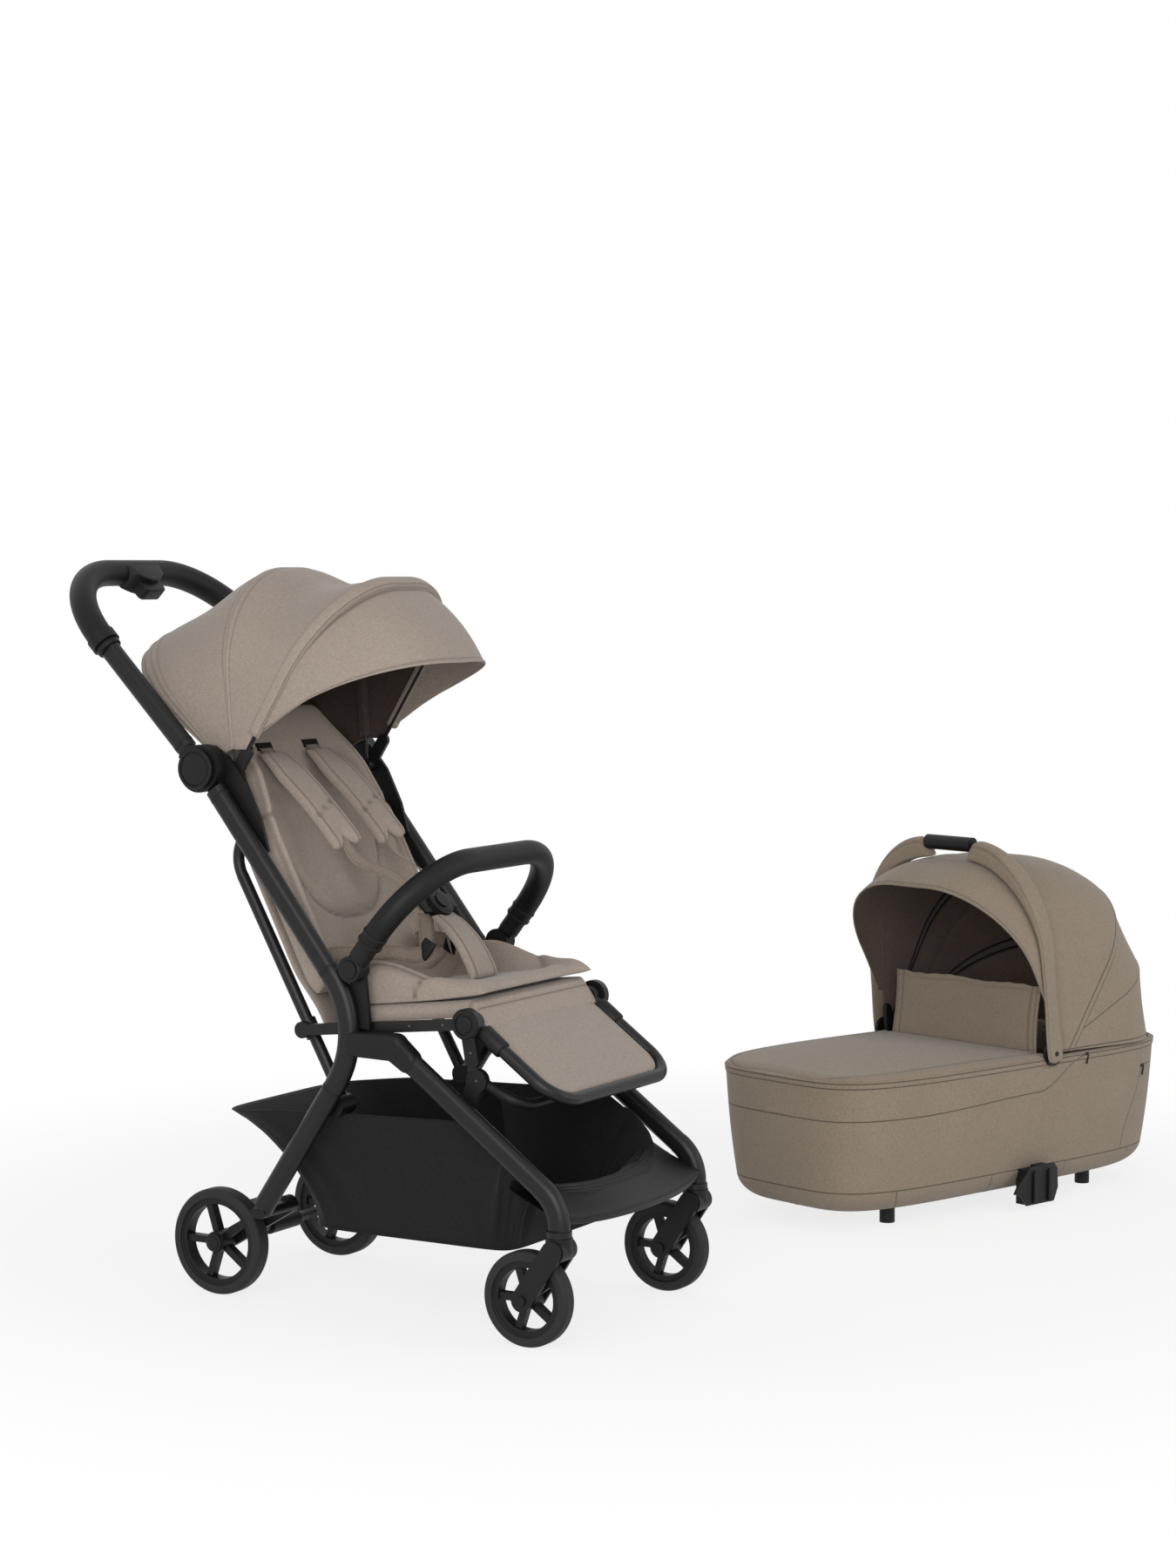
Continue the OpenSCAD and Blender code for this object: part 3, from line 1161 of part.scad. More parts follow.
function hood_visor_row(t, in) = [for (j = [0 : hoop_steps],
    s = mix(hood_visor_share, 1 - hood_visor_share, j / hoop_steps),
    full = pow(sin(180 * j / hoop_steps), visor_power))
  in_hood(hoop_point(s, hood_half - in, cot_arch_len - arch_t / 2 - in - visor_drop * t * full, hood_r),
    arch_to_angle + visor_part_angle + (hood_visor_angle * full + 1.5) * t)];
module cot_hood_visor() color(taupe_dark) cot_placed() slab(
  [for (i = [visor_steps : -1 : 0]) hood_visor_row(i / visor_steps, 0)],
  [for (i = [visor_steps : -1 : 0]) hood_visor_row(i / visor_steps, cloth_t)]);
cot_grip_w = 96;
cot_grip_d = 24;
module cot_grip() color(dark) cot_placed() {
  at = in_hood([0, cot_arch_len + cot_grip_d / 2 + fit], (arch_from_angle + arch_to_angle) / 2);
  across(at.x, at.z, -cot_grip_w / 2, cot_grip_w / 2, cot_grip_d);
}

main_tubes();
hinge_housings();
canopy_brackets();
fold_knuckles();
bumper_sockets();
rear_struts();
rear_axle();
axle_brackets();
basket();
canopy_rear_cover();
brake_pedal();
front_legs();
footrest();
seat_props();
caster_fork_right();
caster_fork_left();
front_rim_right();
front_rim_left();
front_tyre_right();
front_tyre_left();
rear_rim_right();
rear_rim_left();
rear_tyre_right();
rear_tyre_left();
seat_bars();
seat_cushion();
link_plates();
crotch_strap();
buckle();
buckle_button();
leg_rest_frame();
leg_rest_panel();
backrest_shell();
backrest_liner();
shoulder_pads();
harness_straps();
handle_tube();
handle_grip();
handle_hinges();
trigger_housing();
fold_trigger();
canopy_mid_hoop();
canopy_front_cover();
canopy_front_hoop();
canopy_visor();
bumper_bar();
bumper_cover();
bumper_button_right();
bumper_button_left();
cot_tub();
cot_mattress();
cot_apron();
cot_wind_flap();
cot_fittings();
cot_feet();
cot_release();
cot_hood_cover();
cot_hood_arch();
cot_hood_visor();
cot_grip();
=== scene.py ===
import json
from math import atan2, copysign, cos, exp, pi, radians, sin, sqrt

import bmesh
import bpy
from mathutils import Matrix, Vector
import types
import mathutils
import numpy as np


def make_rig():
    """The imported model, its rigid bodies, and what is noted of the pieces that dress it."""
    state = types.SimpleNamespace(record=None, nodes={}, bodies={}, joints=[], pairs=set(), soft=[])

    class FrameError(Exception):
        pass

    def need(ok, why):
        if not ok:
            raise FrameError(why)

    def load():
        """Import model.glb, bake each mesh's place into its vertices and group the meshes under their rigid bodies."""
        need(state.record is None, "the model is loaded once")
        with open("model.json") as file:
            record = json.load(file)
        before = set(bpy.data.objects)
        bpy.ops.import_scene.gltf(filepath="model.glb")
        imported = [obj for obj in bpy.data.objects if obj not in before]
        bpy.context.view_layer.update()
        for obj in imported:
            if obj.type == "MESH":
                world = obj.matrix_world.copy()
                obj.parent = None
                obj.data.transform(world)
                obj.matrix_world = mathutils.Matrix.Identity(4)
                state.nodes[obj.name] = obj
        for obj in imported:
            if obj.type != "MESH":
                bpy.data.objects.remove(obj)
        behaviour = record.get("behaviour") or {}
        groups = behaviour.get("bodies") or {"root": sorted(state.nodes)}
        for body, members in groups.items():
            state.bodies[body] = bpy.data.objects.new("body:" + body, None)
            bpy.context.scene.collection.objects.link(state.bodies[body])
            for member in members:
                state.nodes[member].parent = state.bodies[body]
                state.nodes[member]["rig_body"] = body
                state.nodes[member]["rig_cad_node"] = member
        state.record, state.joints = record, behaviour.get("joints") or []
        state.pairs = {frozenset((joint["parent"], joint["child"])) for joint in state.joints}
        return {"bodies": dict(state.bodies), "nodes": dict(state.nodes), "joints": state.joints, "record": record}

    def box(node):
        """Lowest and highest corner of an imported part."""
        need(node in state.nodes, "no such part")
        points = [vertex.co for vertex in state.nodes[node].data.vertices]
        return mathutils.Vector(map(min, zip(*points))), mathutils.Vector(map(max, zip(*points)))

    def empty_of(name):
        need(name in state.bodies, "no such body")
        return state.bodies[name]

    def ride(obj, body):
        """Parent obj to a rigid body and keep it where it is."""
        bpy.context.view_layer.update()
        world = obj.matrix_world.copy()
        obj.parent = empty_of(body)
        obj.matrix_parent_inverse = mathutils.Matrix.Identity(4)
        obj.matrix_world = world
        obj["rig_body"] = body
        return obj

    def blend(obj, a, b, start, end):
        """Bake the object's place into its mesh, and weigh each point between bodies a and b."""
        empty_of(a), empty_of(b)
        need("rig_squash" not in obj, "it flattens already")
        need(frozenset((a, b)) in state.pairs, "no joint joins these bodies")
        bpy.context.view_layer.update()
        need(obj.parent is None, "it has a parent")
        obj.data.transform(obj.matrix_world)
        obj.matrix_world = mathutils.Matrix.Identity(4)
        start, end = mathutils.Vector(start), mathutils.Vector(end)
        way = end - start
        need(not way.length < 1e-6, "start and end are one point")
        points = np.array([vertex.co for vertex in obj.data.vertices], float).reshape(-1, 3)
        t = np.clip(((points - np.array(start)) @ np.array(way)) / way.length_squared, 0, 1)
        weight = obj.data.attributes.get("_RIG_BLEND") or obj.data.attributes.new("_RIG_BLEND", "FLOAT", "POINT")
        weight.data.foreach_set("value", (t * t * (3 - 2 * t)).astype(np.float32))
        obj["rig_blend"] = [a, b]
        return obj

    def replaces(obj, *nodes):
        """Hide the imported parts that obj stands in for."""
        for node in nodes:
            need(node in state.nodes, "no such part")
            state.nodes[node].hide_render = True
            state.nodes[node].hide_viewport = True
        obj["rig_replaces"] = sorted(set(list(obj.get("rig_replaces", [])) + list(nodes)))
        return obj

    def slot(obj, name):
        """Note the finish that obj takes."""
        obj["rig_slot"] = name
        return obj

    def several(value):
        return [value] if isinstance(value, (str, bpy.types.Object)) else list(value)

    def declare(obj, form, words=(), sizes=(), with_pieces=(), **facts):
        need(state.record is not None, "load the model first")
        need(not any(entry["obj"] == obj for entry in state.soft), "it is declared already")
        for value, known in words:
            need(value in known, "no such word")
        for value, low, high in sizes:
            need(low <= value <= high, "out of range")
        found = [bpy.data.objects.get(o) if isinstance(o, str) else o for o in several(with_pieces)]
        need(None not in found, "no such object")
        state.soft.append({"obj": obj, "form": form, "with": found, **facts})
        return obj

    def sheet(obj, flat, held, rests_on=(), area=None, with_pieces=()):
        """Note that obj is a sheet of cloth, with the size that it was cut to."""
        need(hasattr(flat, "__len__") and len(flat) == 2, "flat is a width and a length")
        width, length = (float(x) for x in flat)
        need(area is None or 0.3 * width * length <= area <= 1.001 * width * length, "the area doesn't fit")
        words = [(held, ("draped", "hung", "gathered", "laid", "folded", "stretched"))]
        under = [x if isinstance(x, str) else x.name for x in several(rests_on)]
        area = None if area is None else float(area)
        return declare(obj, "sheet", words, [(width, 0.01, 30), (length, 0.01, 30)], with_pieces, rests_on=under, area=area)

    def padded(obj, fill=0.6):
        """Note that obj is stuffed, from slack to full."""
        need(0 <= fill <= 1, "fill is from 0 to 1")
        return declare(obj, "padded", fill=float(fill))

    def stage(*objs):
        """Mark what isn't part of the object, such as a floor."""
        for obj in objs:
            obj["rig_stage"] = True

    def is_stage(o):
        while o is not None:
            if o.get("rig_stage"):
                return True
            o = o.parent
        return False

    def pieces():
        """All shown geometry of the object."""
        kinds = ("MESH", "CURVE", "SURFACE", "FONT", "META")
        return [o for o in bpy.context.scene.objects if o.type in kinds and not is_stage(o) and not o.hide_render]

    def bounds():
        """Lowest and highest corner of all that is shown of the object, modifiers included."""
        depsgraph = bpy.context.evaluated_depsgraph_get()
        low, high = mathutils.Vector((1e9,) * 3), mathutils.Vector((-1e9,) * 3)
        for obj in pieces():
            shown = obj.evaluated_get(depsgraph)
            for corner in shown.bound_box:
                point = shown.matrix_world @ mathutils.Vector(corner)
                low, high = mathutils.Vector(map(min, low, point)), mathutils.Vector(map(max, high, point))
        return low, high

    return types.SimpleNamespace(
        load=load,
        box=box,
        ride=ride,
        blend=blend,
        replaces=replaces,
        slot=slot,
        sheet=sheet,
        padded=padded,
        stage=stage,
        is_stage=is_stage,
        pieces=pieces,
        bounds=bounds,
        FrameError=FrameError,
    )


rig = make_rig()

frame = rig.load()
cad_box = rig.bounds()
nodes = frame["nodes"]

# Side tubes, legs, struts and hoops
# Extruded aluminium tube, bent cold and powder coated in satin black. The coat shows a fine
# orange-peel grain and a soft line of light along each tube.
axle_low, axle_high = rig.box("rear_axle")
axle = (axle_low + axle_high) / 2


def at(x, y, z):
    """A place in millimetres left of, behind and above the rear axle's middle on the floor."""
    return Vector((axle.x + x / 1000, axle.y + y / 1000, z / 1000))


def linear(colour):
    """An sRGB hex colour as linear RGBA."""
    parts = [int(colour[i:i + 2], 16) / 255 for i in (1, 3, 5)]
    return [p / 12.92 if p < 0.04045 else ((p + 0.055) / 1.055) ** 2.4 for p in parts] + [1]


def add(tree, kind, inputs=None, **settings):
    """A node with its settings; an input takes a value or the socket that feeds it."""
    made = tree.nodes.new(kind)
    for key, value in settings.items():
        setattr(made, key, value)
    for key, value in (inputs or {}).items():
        if isinstance(value, bpy.types.NodeSocket):
            tree.links.new(value, made.inputs[key])
        else:
            made.inputs[key].default_value = value
    return made


def started(name):
    """A new material, its tree, its shader and the object's own coordinates."""
    material = bpy.data.materials.new(name)
    material.use_nodes = True
    tree = material.node_tree
    return material, tree, tree.nodes["Principled BSDF"], add(tree, "ShaderNodeTexCoord").outputs["Object"]


def solid(name, dark, light, cloud, grain, relief, gloss, specular=0.5, texture="Noise", height="Fac"):
    """A dyed solid whose tone drifts a little, with a grain that gives it relief.

    cloud and grain are a size in millimetres and a level of detail, relief is a strength and a depth in
    millimetres, and gloss is one roughness or the two that the grain runs between.
    """
    material, tree, shader, place = started(name)
    drift = add(tree, "ShaderNodeTexNoise", {"Vector": place, "Scale": 1000 / cloud[0], "Detail": cloud[1]})
    tone = add(tree, "ShaderNodeValToRGB", {"Fac": drift.outputs["Fac"]})
    for stop, colour in zip(tone.color_ramp.elements, (dark, light)):
        stop.color = linear(colour)
    face = add(tree, "ShaderNodeTex" + texture,
               {"Vector": place, "Scale": 1000 / grain[0], "Detail": grain[1]})
    bump = add(tree, "ShaderNodeBump",
               {"Height": face.outputs[height], "Strength": relief[0], "Distance": relief[1] / 1000})
    tree.links.new(tone.outputs["Color"], shader.inputs["Base Color"])
    tree.links.new(bump.outputs["Normal"], shader.inputs["Normal"])
    if isinstance(gloss, tuple):
        dull = add(tree, "ShaderNodeMapRange",
                   {"Value": face.outputs[height], "To Min": gloss[0], "To Max": gloss[1]})
        tree.links.new(dull.outputs["Result"], shader.inputs["Roughness"])
    else:
        shader.inputs["Roughness"].default_value = gloss
    shader.inputs["Specular IOR Level"].default_value = specular
    return material


def dress(material, *names):
    """Gives solid parts their finish."""
    for name in names:
        nodes[name].data.materials.clear()
        nodes[name].data.materials.append(material)


# Baked powder on aluminium: an orange peel about 1 mm across breaks the light on the tubes.
powder_coat = solid("powder_coated_aluminium", "#0e0e0f", "#161617", cloud=(71.4, 4), grain=(1.111, 3),
                    relief=(0.12, 0.4), gloss=(0.32, 0.46), specular=0.3)
dress(powder_coat, "main_tubes", "front_legs", "rear_struts", "seat_bars", "leg_rest_frame", "handle_tube",
      "canopy_mid_hoop", "canopy_front_hoop")

# Collars on the tubes
# Thin moulded sleeves that hide the joins of the tubes, each a little larger than its tube. They are
# pushed over the tube ends before the castings are riveted on.
sides = ((-1, "right"), (1, "left"))
sideways = Vector((1, 0, 0))
tube_x = 187
collar_wide, collar_deep, collar_long, collar_wall = 22.6, 30.6, 7, 1.2
post_lean, rear_leg_lean, front_leg_lean, handle_lean = 51.8, -56, 216.3, 45.5


def lean(angle):
    """The way of a line in the side view, whose angle is nought to the rear and ninety upwards."""
    return Vector((0, cos(radians(angle)), sin(radians(angle))))


def piece(name, mesh, material, body=None, slot=None, crease=40):
    """Turns a bmesh into a smooth-shaded piece that rides a body."""
    data = bpy.data.meshes.new(name)
    mesh.to_mesh(data)
    mesh.free()
    data.shade_smooth()
    data.set_sharp_from_angle(angle=radians(crease))
    for finish in material if isinstance(material, list) else [material]:
        data.materials.append(finish)
    made = bpy.data.objects.new(name, data)
    bpy.context.scene.collection.objects.link(made)
    if body:
        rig.ride(made, body)
    if slot:
        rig.slot(made, slot)
    return made


def raised(mesh, extruded, height):
    """Lifts the new vertices of an extrusion and returns them."""
    verts = [g for g in extruded["geom"] if isinstance(g, bmesh.types.BMVert)]
    bmesh.ops.translate(mesh, vec=(0, 0, height), verts=verts)
    return verts


def round_rims(mesh, radius, segments):
    """Rounds every edge that lies level."""
    rims = [e for e in mesh.edges if abs(e.verts[0].co.z - e.verts[1].co.z) < 1e-6]
    bmesh.ops.bevel(mesh, geom=rims, offset=radius, segments=segments, profile=0.5, affect="EDGES",
                    material=-1)


def collar(name, centre, angle, body):
    """An oval sleeve round a side tube, with rounded ends."""
    mesh = bmesh.new()
    for v in bmesh.ops.create_circle(mesh, segments=40, radius=collar_wide / 2000)["verts"]:
        v.co.y += (collar_deep - collar_wide) / 2000 * (1 if v.co.y > 0 else -1)
    raised(mesh, bmesh.ops.extrude_edge_only(mesh, edges=list(mesh.edges)), collar_long / 1000)
    bmesh.ops.recalc_face_normals(mesh, faces=mesh.faces)
    bmesh.ops.solidify(mesh, geom=list(mesh.faces), thickness=collar_wall / 1000)
    round_rims(mesh, 0.0005, 2)
    axis = lean(angle)
    turn = Matrix((sideways, axis.cross(sideways), axis)).transposed().to_4x4()
    bmesh.ops.transform(mesh, matrix=Matrix.Translation(centre) @ turn, verts=mesh.verts)
    return piece(name, mesh, nylon, body, "plastic")


# Glass-filled nylon: its spark-eroded grit of 0.2 mm, drawn at 0.67 mm so that it shows, keeps it dull.
nylon = solid("moulded_nylon", "#0b0b0c", "#131314", cloud=(40, 3), grain=(0.6667, 2), relief=(0.2, 0.4),
              gloss=(0.42, 0.6), specular=0.26)
for side, name in sides:
    for label, y, z, angle, body in (
            ("post_low", -217, 473, post_lean, "rear_frame"),
            ("post_high", -38, 701, post_lean, "rear_frame"),
            ("rear_leg", -222, 316, rear_leg_lean, "rear_frame"),
            ("front_leg", -347, 360.6, front_leg_lean, "front_frame"),
            ("handle", 24, 772, handle_lean, "handle")):
        collar(f"collar_{label}_{name}", at(side * tube_x, y, z), angle, body)

# Hinges, castings and brackets
# Glass-filled nylon mouldings with a fine spark texture, riveted to the tubes. The elbow at the fold is
# a smooth casting in two halves with one pin, and the round hinge cap is pressed in last.
dress(nylon, "hinge_housings", "canopy_brackets", "bumper_sockets", "axle_brackets", "brake_pedal",
      "footrest", "seat_props", "caster_fork_right", "caster_fork_left", "link_plates", "buckle",
      "buckle_button", "handle_hinges", "bumper_bar", "bumper_button_right", "bumper_button_left",
      "cot_fittings", "cot_feet", "cot_release")


def turned(name, profile, centre, axis, body, steps=40, material=nylon, slot="plastic"):
    """A turned piece: a profile of radius and height in millimetres, spun about an axis."""
    mesh = bmesh.new()
    verts = [mesh.verts.new((r / 1000, 0, h / 1000)) for r, h in profile]
    edges = [mesh.edges.new(pair) for pair in zip(verts, verts[1:])]
    bmesh.ops.spin(mesh, geom=verts + edges, cent=(0, 0, 0), axis=(0, 0, 1), angle=2 * pi, steps=steps,
                   use_merge=True)
    bmesh.ops.remove_doubles(mesh, verts=mesh.verts, dist=1e-6)
    bmesh.ops.recalc_face_normals(mesh, faces=mesh.faces)
    turn = Vector((0, 0, 1)).rotation_difference(Vector(axis)).to_matrix().to_4x4()
    bmesh.ops.transform(mesh, matrix=Matrix.Translation(centre) @ turn, verts=mesh.verts)
    return piece(name, mesh, material, body, slot)


def plate(name, outline, near, far, rounding, where, body, flare=1):
    """A moulded plate with round rims: an outline, as deep as from near to far, laid by where(a, b, depth).

    Its near face is flare times as wide as the outline.
    """
    mesh = bmesh.new()
    face = mesh.faces.new([mesh.verts.new((a * flare, b, near)) for a, b in outline])
    lid = raised(mesh, bmesh.ops.extrude_face_region(mesh, geom=[face]), far - near)
    bmesh.ops.scale(mesh, vec=(1 / flare, 1, 1), verts=lid)
    bmesh.ops.recalc_face_normals(mesh, faces=mesh.faces)
    round_rims(mesh, rounding, 4)
    for v in mesh.verts:
        v.co = where(*v.co)
    if mesh.calc_volume(signed=True) < 0:
        bmesh.ops.reverse_faces(mesh, faces=mesh.faces)
    return piece(name, mesh, nylon, body, "plastic", 50)


def on_side(y, z, x):
    """A place in the pushchair's side view, at a distance from its middle."""
    return at(x, y, z)


def capsule(a, b, r_a, r_b, turns=20):
    """The outline of a bar with round ends from a to b."""
    tilt = atan2(b[1] - a[1], b[0] - a[0])
    ends = ((b, r_b, -pi / 2), (a, r_a, pi / 2))
    return [(c[0] + r * cos(tilt + start + pi * k / turns), c[1] + r * sin(tilt + start + pi * k / turns))
            for c, r, start in ends for k in range(turns + 1)]


# Zinc-plated steel, passivated black: streaks about 5 mm across vary its gloss.
steel, tree, shader, place = started("black_zinc_plated_steel")
wipe = add(tree, "ShaderNodeTexNoise", {"Vector": place, "Scale": 1000 / 4.545, "Detail": 4})
gloss = add(tree, "ShaderNodeMapRange", {"Value": wipe.outputs["Fac"], "To Min": 0.3, "To Max": 0.5})
tree.links.new(gloss.outputs["Result"], shader.inputs["Roughness"])
shader.inputs["Base Color"].default_value = linear("#4a4a4c")
shader.inputs["Metallic"].default_value = 1
dress(steel, "rear_axle")

fold_pin, casting_rear, leg_head_long = (-322, 379), (-260, 379), 28
handle_pivot = (-5.5, 742)
leg_way = lean(front_leg_lean)
leg_joint = (fold_pin[0] + leg_head_long * leg_way.y, fold_pin[1] + leg_head_long * leg_way.z)
rivet = [(0, 1.5), (1.4, 1.35), (2.3, 0.9), (2.8, 0), (0, 0)]
hinge_cap = [(0, 2.2), (20, 2.2), (21.4, 1.9), (22, 0.9), (23.4, 0.7), (24, 1.9), (26.4, 2.4), (28, 1.8),
             (28.6, 0), (0, 0)]
castings = []
for side, name in sides:
    out = side * sideways
    castings.append(plate(f"fold_casting_{name}", capsule(casting_rear, fold_pin, 17, 18.4),
                          side * 173.8, side * 200.4, 7, on_side, "rear_frame"))
    plate(f"leg_head_{name}", capsule(fold_pin, leg_joint, 18.1, 15.9), side * 174.2, side * 200, 7, on_side,
          "front_frame")
    turned(f"hinge_cap_{name}", hinge_cap, at(side * 204, *handle_pivot), out, "handle", 64)
    for label, x, y, z, body in (
            ("fin", 175.5, -19, 716, "rear_frame"), ("fin_low", 175.5, -52, 690, "rear_frame"),
            ("bar_rear", 173, -235, 395.5, "seat"), ("bar_mid", 173, -335, 406, "seat"),
            ("bar_front", 173, -388, 411.4, "seat"), ("link", 171.5, -431, 377, "seat"),
            ("prop", 169, -438, 340, "front_frame")):
        turned(f"rivet_{label}_{name}", rivet, at(side * x, y, z), out, body, 20, steel, "axle_steel")
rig.replaces(castings[0], "fold_knuckles")

# Wheels and casters
# Solid foamed tyres on five-spoked nylon rims. A snap-on cap hides each end of the rear axle, and a thin
# lip on each rim holds its tyre. The fine pores of the foam leave the tread without a shine.
rubber = solid("foamed_tyre_rubber", "#09090a", "#101011", cloud=(16.67, 5), grain=(0.9091, 2),
               relief=(0.3, 0.4), gloss=0.72)
axle_cap = [(0, 4.4), (6.5, 4.2), (8.6, 3.4), (9.6, 1.6), (11, 1.4), (12.6, 1), (13.2, 0), (0, 0)]
hub_ring = [(9, 0.4), (13.4, 0.4), (14.2, -0.6), (14.2, -4), (9, -4), (9, 0.4)]
for end in ("front", "rear"):
    for outer, name in sides:
        tyre, rim, body = (f"{end}_{label}_{name}" for label in ("tyre", "rim", "wheel"))
        dress(rubber, tyre)
        dress(nylon, rim)
        low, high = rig.box(tyre)
        hub, half, r = (low + high) / 2, (high.x - low.x) * 500, (high.z - low.z) * 500
        lip = [(r - 17, half * 0.62), (r - 13.6, half * 0.78), (r - 13.2, half * 0.8),
               (r - 13.2, half * 0.5), (r - 17, half * 0.5), (r - 17, half * 0.62)]
        rim_low, rim_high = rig.box(rim)
        for side in (-1, 1):
            out = side * sideways
            turned(f"{end}_lip_{name}_{side + 1}", lip, hub, out, body, 72, nylon, "rim")
            if end == "rear":
                face = hub + out * (rim_high.x - rim_low.x) / 2
                turned(f"rear_hub_ring_{name}_{side + 1}", hub_ring, face, out, body, 48, nylon, "rim")
        if end == "rear":
            tip = Vector((axle_low.x if outer < 0 else axle_high.x, hub.y, hub.z))
            turned(f"rear_axle_cap_{name}", axle_cap, tip, outer * sideways, "rear_frame", 48)

# Footrest between the front legs
# One moulded nylon shell that flows into both legs: a deep rim at the front, a hollow inner edge and
# four grip ribs that follow it.
shelf_half, shelf_front, shelf_deep, shelf_thick, shelf_z, shelf_tilt = 179, -611, 72, 8.2, 164, 24


def power(value, exponent):
    """A power that keeps its sign, for outlines with flattened sides."""
    return (1 if value >= 0 else -1) * abs(value) ** exponent


def bump_at(x, middle, width):
    """A smooth bump of height one, for ribs, seams and folds."""
    return exp(-((x - middle) / width) ** 2)


def plane(pivot, angle):
    """Gives where(x, s, n): across, along a line that leaves the pivot at an angle, and out of that line."""
    run, rise = cos(radians(angle)), sin(radians(angle))
    return lambda x, s, n: at(x, pivot[0] + s * run - n * rise, pivot[1] + s * rise + n * run)


def away_from(centre):
    """The way out of a shell with that centre."""
    return lambda c: c - centre


def sheet(across, along, where, out, seam=None, merge=False, drawn=None):
    """A grid laid by where(u, w), its faces turned along out(centre).

    seam(u, w) is kept as an attribute, and so are the four signed distances of drawn(u, w).
    """
    mesh = bmesh.new()
    bmesh.ops.create_grid(mesh, x_segments=across, y_segments=along, size=0.5)
    line = mesh.verts.layers.float.new("seam")
    lines = mesh.verts.layers.float_color.new("lines") if drawn else None
    for v in mesh.verts:
        u, w = v.co.x + 0.5, v.co.y + 0.5
        v[line] = seam(u, w) if seam else 0
        if drawn:
            v[lines] = drawn(u, w)
        v.co = where(u, w)
    if merge:
        bmesh.ops.remove_doubles(mesh, verts=mesh.verts, dist=0.0002)
    bmesh.ops.recalc_face_normals(mesh, faces=mesh.faces)
    if sum(f.normal.dot(out(f.calc_center_median())) * f.calc_area() for f in mesh.faces) < 0:
        bmesh.ops.reverse_faces(mesh, faces=mesh.faces)
    return mesh


def shelf_point(u, w):
    x = shelf_half * (2 * u - 1)
    off = abs(x) / shelf_half
    deep = shelf_deep + 26 * off ** 2.4
    turn = 2 * pi * w
    into = deep / 2 + deep / 2 * power(cos(turn), 0.34)
    rib = sum(bump_at(into, deep - 8 - 6.5 * k, 2) for k in range(4)) * 2.6 * max(0, 1 - (off / 0.72) ** 6)
    hollow = 3.5 * sin(pi * into / deep)
    up = shelf_thick * power(sin(turn), 0.34) + (rib - hollow) * (sin(turn) > 0)
    return plane((shelf_front + 24 * off ** 2, shelf_z + 7 * off ** 4), shelf_tilt)(x, into, up)


shelf_mesh = sheet(90, 240, shelf_point, away_from(at(0, -570, 178)), merge=True)
footrest = piece("footrest_shell", shelf_mesh, nylon, "front_frame", "plastic", 60)
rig.replaces(footrest, "footrest")

# Shopping basket
# Black polyester cloth sewn as an open tray, bound at the rim and hung from the frame, so its floor
# and long sides sag a little.
def woven(name, light, deep, thread, seam_dark=0.6, sheen=0.2, line="#3a322c", drawn=False):
    """Plain-woven cloth of mixed yarns, a thread in millimetres, drawn five times as wide as it is to show.

    The eye sees a dull, slightly uneven tone with dark seams and a faint sheen at its edges.
    """
    material, tree, shader, place = started(name)
    warp = add(tree, "ShaderNodeMapping", {"Vector": place, "Scale": (1, 1, 0.16)})
    weft = add(tree, "ShaderNodeMapping", {"Vector": place, "Scale": (0.2, 0.2, 1)})
    up, over = (add(tree, "ShaderNodeTexNoise", {"Vector": way.outputs["Vector"], "Scale": 1000 / thread})
                for way in (warp, weft))
    yarn = add(tree, "ShaderNodeMath", {0: up.outputs["Fac"], 1: over.outputs["Fac"]}, operation="ADD")
    patch = add(tree, "ShaderNodeTexNoise", {"Vector": place, "Scale": 1000 / 111.1, "Detail": 3})
    blend = add(tree, "ShaderNodeMath", {0: patch.outputs["Fac"], 1: 0.3, 2: yarn.outputs[0]},
                operation="MULTIPLY_ADD")
    tone = add(tree, "ShaderNodeMapRange", {"Value": blend.outputs[0], "From Min": 0.8, "From Max": 1.5})
    shade = add(tree, "ShaderNodeMix", {0: tone.outputs["Result"], 6: linear(deep), 7: linear(light)},
                data_type="RGBA")
    sewn = add(tree, "ShaderNodeAttribute", attribute_name="seam").outputs["Fac"]
    if drawn:
        lines = add(tree, "ShaderNodeAttribute", attribute_name="lines")
        parts = add(tree, "ShaderNodeSeparateXYZ", {0: lines.outputs["Vector"]})
        gaps = [add(tree, "ShaderNodeMath", {0: source}, operation="ABSOLUTE").outputs[0]
                for source in (*parts.outputs, lines.outputs["Alpha"])]
        near = gaps[0]
        for gap in gaps[1:]:
            near = add(tree, "ShaderNodeMath", {0: near, 1: gap}, operation="MINIMUM").outputs[0]
        sewn = add(tree, "ShaderNodeMapRange", {"Value": near, "From Min": 0.5, "From Max": 1.5,
                                                "To Min": 1.0, "To Max": 0.0}).outputs["Result"]
    stitch = add(tree, "ShaderNodeMath", {0: sewn, 1: seam_dark}, operation="MULTIPLY")
    dark = add(tree, "ShaderNodeMix", {0: stitch.outputs[0], 6: shade.outputs[2], 7: linear(line)},
               data_type="RGBA")
    weave = add(tree, "ShaderNodeBump",
                {"Height": yarn.outputs[0], "Strength": 0.22, "Distance": thread / 1000})
    tree.links.new(dark.outputs[2], shader.inputs["Base Color"])
    tree.links.new(weave.outputs["Normal"], shader.inputs["Normal"])
    for key, value in (("Roughness", 0.9), ("Specular IOR Level", 0.25), ("Sheen Weight", sheen),
                       ("Sheen Roughness", 0.5)):
        shader.inputs[key].default_value = value
    return material


